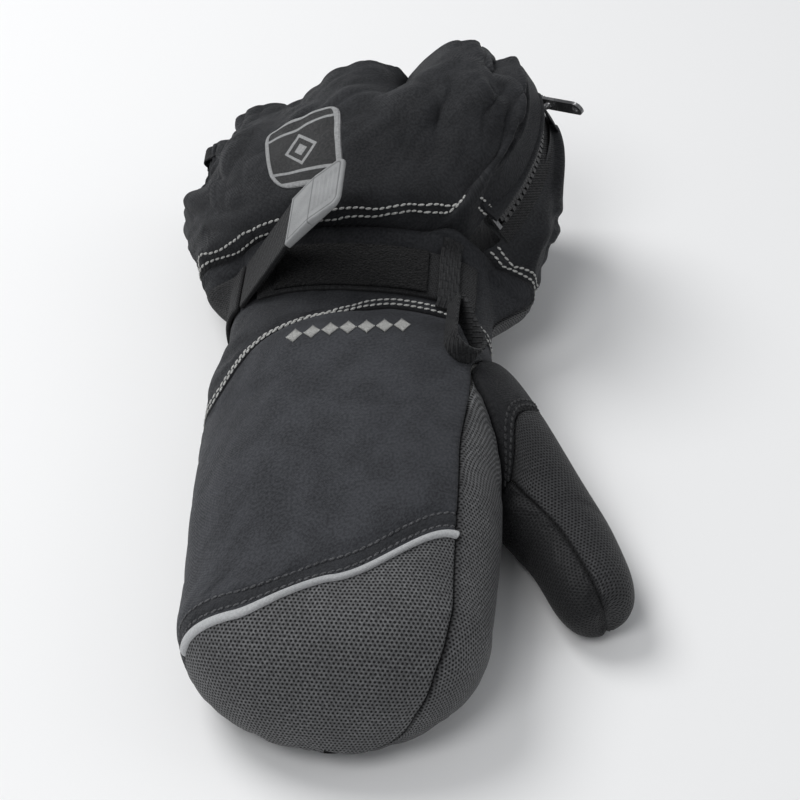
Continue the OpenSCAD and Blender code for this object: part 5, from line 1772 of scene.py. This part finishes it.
# %% Badge finish
badge_finish, tree, shader = new_finish("woven_badge", Specular_IOR_Level=0.3, Sheen_Weight=0.15)
place = cloth_place(tree)
split = add(tree, "SeparateXYZ", {0: place}).outputs
weave = woven(tree, place, 0.00045, 0.00030)
mottle = mottled(tree, place, 0.0010)
rim = attribute(tree, "rim")
side = maths(tree, "ABSOLUTE", split[0])
tall = maths(tree, "ABSOLUTE", split[1])
lozenge = maths(tree, "ADD", times(tree, side, 1.25), tall)
ring = times(tree, ramp(tree, lozenge, 0.0062, 0.0066), ramp(tree, lozenge, 0.0084, 0.0080))
core = ramp(tree, lozenge, 0.0034, 0.0030)
bars = times(tree, ramp(tree, tall, 0.0099, 0.0102), ramp(tree, tall, 0.0114, 0.0111))
edge = ramp(tree, rim, 2.0, 1.7)
motif = maths(tree, "MAXIMUM", maths(tree, "MAXIMUM", ring, core), maths(tree, "MAXIMUM", bars, edge))
pale = blend_colours(tree, mottle["Fine"], (0.42, 0.425, 0.43), (0.56, 0.565, 0.57))
ground = blend_colours(tree, mottle["Fine"], (0.012, 0.0122, 0.0135), (0.028, 0.0285, 0.030))
colour = blend_colours(tree, motif, ground, pale)
paint(tree, shader, blend_colours(tree, times(tree, weave["Gap"], 0.45), colour, (0.02, 0.02, 0.022)))
roughen(tree, shader, mottle["Fine"], 0.85, 0.65)
bump(tree, shader, maths(tree, "MULTIPLY_ADD", motif, 0.6, weave["Height"]), 0.0003)

# %% Badge
BADGE_TURN, BADGE_Y, BADGE_W, BADGE_H, BADGE_TURN_MM = 107.0, 139.0, 29.0, 34.0, 1.15
BADGE_COLUMNS, BADGE_ROWS = 64, 76
gauntlet_surface = surface_of(gauntlet_back_cloth)


def outward_at(turn, y):
    """Direction out of the plain form."""
    return (skin_point(turn, y, -2) - skin_point(turn, y, 0)).normalized()


def lift_of(surface, aim, out):
    """How far the cloth stands out over a point of the plain form, looking along one direction."""
    spot = surface.ray_cast((aim + 20 * out) * MM, -out)[0]
    return (spot / MM - aim).dot(out) if spot else 0.0


def smoothed(lifts, columns, rows, rounds):
    """Averages each lift with its neighbours, so a stiff patch bridges small folds."""
    for _ in range(rounds):
        lifts = {
            (i, j): sum(
                lifts[min(max(i + di, 0), columns), min(max(j + dj, 0), rows)]
                for di, dj in ((-1, 0), (1, 0), (0, -1), (0, 1), (0, 0))
            ) / 5
            for i, j in lifts
        }
    return lifts


def badge_half(v):
    return BADGE_W / 2 * (1 - min(abs(v), 0.995) ** 6) ** (1 / 6)


badge_bm, (rim_layer,) = new_grid(BADGE_COLUMNS, BADGE_ROWS, ("rim",), size=1)
badge_out = outward_at(BADGE_TURN, BADGE_Y)
flat, aims, lifts, cell_of = {}, {}, {}, {}
for v in badge_bm.verts:
    u, w = v.co.x, v.co.y
    cell = round((u + 1) / 2 * BADGE_COLUMNS), round((w + 1) / 2 * BADGE_ROWS)
    half = badge_half(w)
    x, y = -u * half, w * 0.995 * BADGE_H / 2
    v[rim_layer] = min(half - abs(x), BADGE_H / 2 * 0.995 - abs(y))
    flat[v.index] = (x * MM, y * MM)
    aims[cell] = skin_point(BADGE_TURN - u * half / BADGE_TURN_MM, BADGE_Y + y, 0)
    lifts[cell] = lift_of(gauntlet_surface, aims[cell], badge_out)
    cell_of[v.index] = cell
lifts = smoothed(lifts, BADGE_COLUMNS, BADGE_ROWS, 24)
for v in badge_bm.verts:
    cell, rim_at = cell_of[v.index], v[rim_layer]
    crown = 1.0 - rolled_in(max(0.0, min(rim_at, 1.0)), 1.0) * 0.7 - 0.25 * ease((rim_at - 1.6) / 0.5)
    v.co = (aims[cell] + badge_out * (lifts[cell] + crown)) * MM
write_uv(badge_bm, flat)
woven_badge = keep_piece("woven_badge", badge_bm, badge_finish)
top_face = min(woven_badge.data.polygons, key=lambda f: -f.center.z)
if top_face.normal.z < 0:
    woven_badge.data.flip_normals()
add_wall(woven_badge, 0.6)

# %% Lozenge embroidery
LOZENGES, LOZENGE_H = 7, 9.4
back_surface = surface_of(back_cloth)


def row_turn(share):
    return mix(113, 72, share)


def row_y(share):
    return mix(55.5, 66.5, share)


row_shares = [k / 60 for k in range(61)]
row_lengths = running_length([skin_point(row_turn(k), row_y(k), 0) for k in row_shares])
LOZENGE_STEP = row_lengths[-1] / LOZENGES
LOZENGE_W = 0.92 * LOZENGE_STEP


def lozenge_spot(x, y):
    """A point of the row: x along it from its middle, y across it, in millimetres."""
    share = share_at(row_lengths, row_shares, row_lengths[-1] / 2 + x, False)
    turn, along_hand = row_turn(share), row_y(share) + y
    aim, out = skin_point(turn, along_hand, 0), outward_at(turn, along_hand)
    return (aim + out * lift_of(back_surface, aim, out)) * MM, out


satin_bm = bmesh.new()
for k in range(LOZENGES):
    middle = (k + 0.5 - LOZENGES / 2) * LOZENGE_STEP
    threads = round(LOZENGE_W / 0.4)
    for t in range(threads):
        x = (t + 0.5) / threads * 2 - 1
        reach = (1 - abs(x)) * LOZENGE_H / 2
        if reach < 0.25:
            continue
        start, normal = lozenge_spot(middle + x * LOZENGE_W / 2, -reach)
        end, _ = lozenge_spot(middle + x * LOZENGE_W / 2, reach)
        crest, _ = lozenge_spot(middle + x * LOZENGE_W / 2, 0)
        bulge = max(0.0, (crest - (start + end) / 2).dot(normal)) * normal
        add_stitch(satin_bm, start + bulge, end + bulge, normal, 0.46 * MM, 0.8 * MM, 0.05, 0.0)
wrist_embroidery = keep_piece("wrist_embroidery", satin_bm, pale_thread)
print("embroidery:", len(wrist_embroidery.data.polygons), "faces")

# %% [markdown]
# ## Handing the pieces to the frame
#
# Each piece rides on the body it is sewn to, and the imported solid it stands for is hidden. The
# table lists that solid and the finish slot of each piece.

# %% What stands for what
STANDS_FOR = {
    "back_cloth": ("back_panel", "shell_fabric"), "tip_cloth": ("tip_panel", "grip_synthetic"),
    "palm_cloth": ("palm_panel", "grip_synthetic"), "side_cloth": ("side_gusset", "grip_synthetic"),
    "thumb_gore_cloth": ("thumb_gore", "shell_fabric"), "thumb_upper_cloth": ("thumb_grip_upper", "grip_synthetic"),
    "thumb_lower_cloth": ("thumb_grip_lower", "grip_synthetic"), "wrist_cloth": ("wrist_yoke", "shell_fabric"),
    "wrist_under_cloth": ("wrist_under", "grip_synthetic"), "gauntlet_back_cloth": ("gauntlet_back", "shell_fabric"),
    "gauntlet_under_cloth": ("gauntlet_under", "shell_fabric"), "hem_tape": ("hem_casing", "shell_fabric"),
    "hem_elastic_strip": ("hem_elastic", "elastic_tape"), "wrist_elastic_strip": ("wrist_elastic", "elastic_tape"),
    "wadding_bag": ("wadding", "wadding_fleece"), "membrane_bag": ("membrane_insert", "membrane_film"),
    "lining_bag": ("hand_lining", "lining_fabric"), "cuff_cloth": ("cuff_lining", "lining_fabric"),
    "piping_cord": ("piping", "reflective_piping"), "belt_strap": ("wrist_belt", "webbing"),
    "pile_patch": ("loop_pile", "hook_and_loop"), "anchor_strap": ("strap_anchor", "webbing"),
    "keeper_band": ("strap_keeper", "webbing"), "tongue_strap": ("strap_tongue", "webbing"),
    "hook_tape": ("hook_patch", "hook_and_loop"), "grip_tab": ("strap_tab", "tab_rubber"),
    "hang_tape": ("hang_loop", "webbing"), "tape_back": ("zip_tape_back", "zip_tape"),
    "tape_under": ("zip_tape_under", "zip_tape"), "zip_pleat": ("zip_gusset", "lining_fabric"),
    "rolled_flap": ("zip_flap", "shell_fabric"), "woven_badge": ("badge", "badge_fabric"),
}
BODY_OF = {"tongue_strap": "strap", "hook_tape": "strap", "grip_tab": "strap", "hang_tape": "loop"}
for name, piece in pieces_made.items():
    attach(piece, BODY_OF.get(name, "mitten"))
    if name in STANDS_FOR:
        node, slot_name = STANDS_FOR[name]
        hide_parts(node)

# %% Sheets of cloth
def mean(values):
    return sum(values) / len(values)


def sheet_of(piece, lines, columns, held):
    """Prints a sheet's cut size, from the lengths of its lines across and along, in millimetres."""
    flat = (max(lines) * MM, max(columns) * MM)
    area = min(mean(lines) * mean(columns) * MM * MM, 0.999 * flat[0] * flat[1])
    print(piece.name, "cut", round(flat[0] * 1000), "x", round(flat[1] * 1000), "mm")


def strip_lengths(place, across, rows):
    def spots(i_all, of):
        return [[place(i / of, j / rows, 0) for i in i_all] for j in range(rows + 1)]
    lines = [running_length(line)[-1] for line in spots(range(across + 1), across)]
    columns = [running_length(line)[-1] for line in zip(*spots(range(25), 24))]
    return lines, columns


for piece, name in ((gauntlet_back_cloth, "gauntlet_back"), (gauntlet_under_cloth, "gauntlet_under")):
    sheet_of(piece, [row[-1] for row in cuts[name].row], [column[-1] for column in cuts[name].column], "gathered")
sheet_of(cuff_cloth, *strip_lengths(cuff_place, 200, 12), "hung")
sheet_of(hem_tape, *strip_lengths(hem_place, 400, 12), "folded")
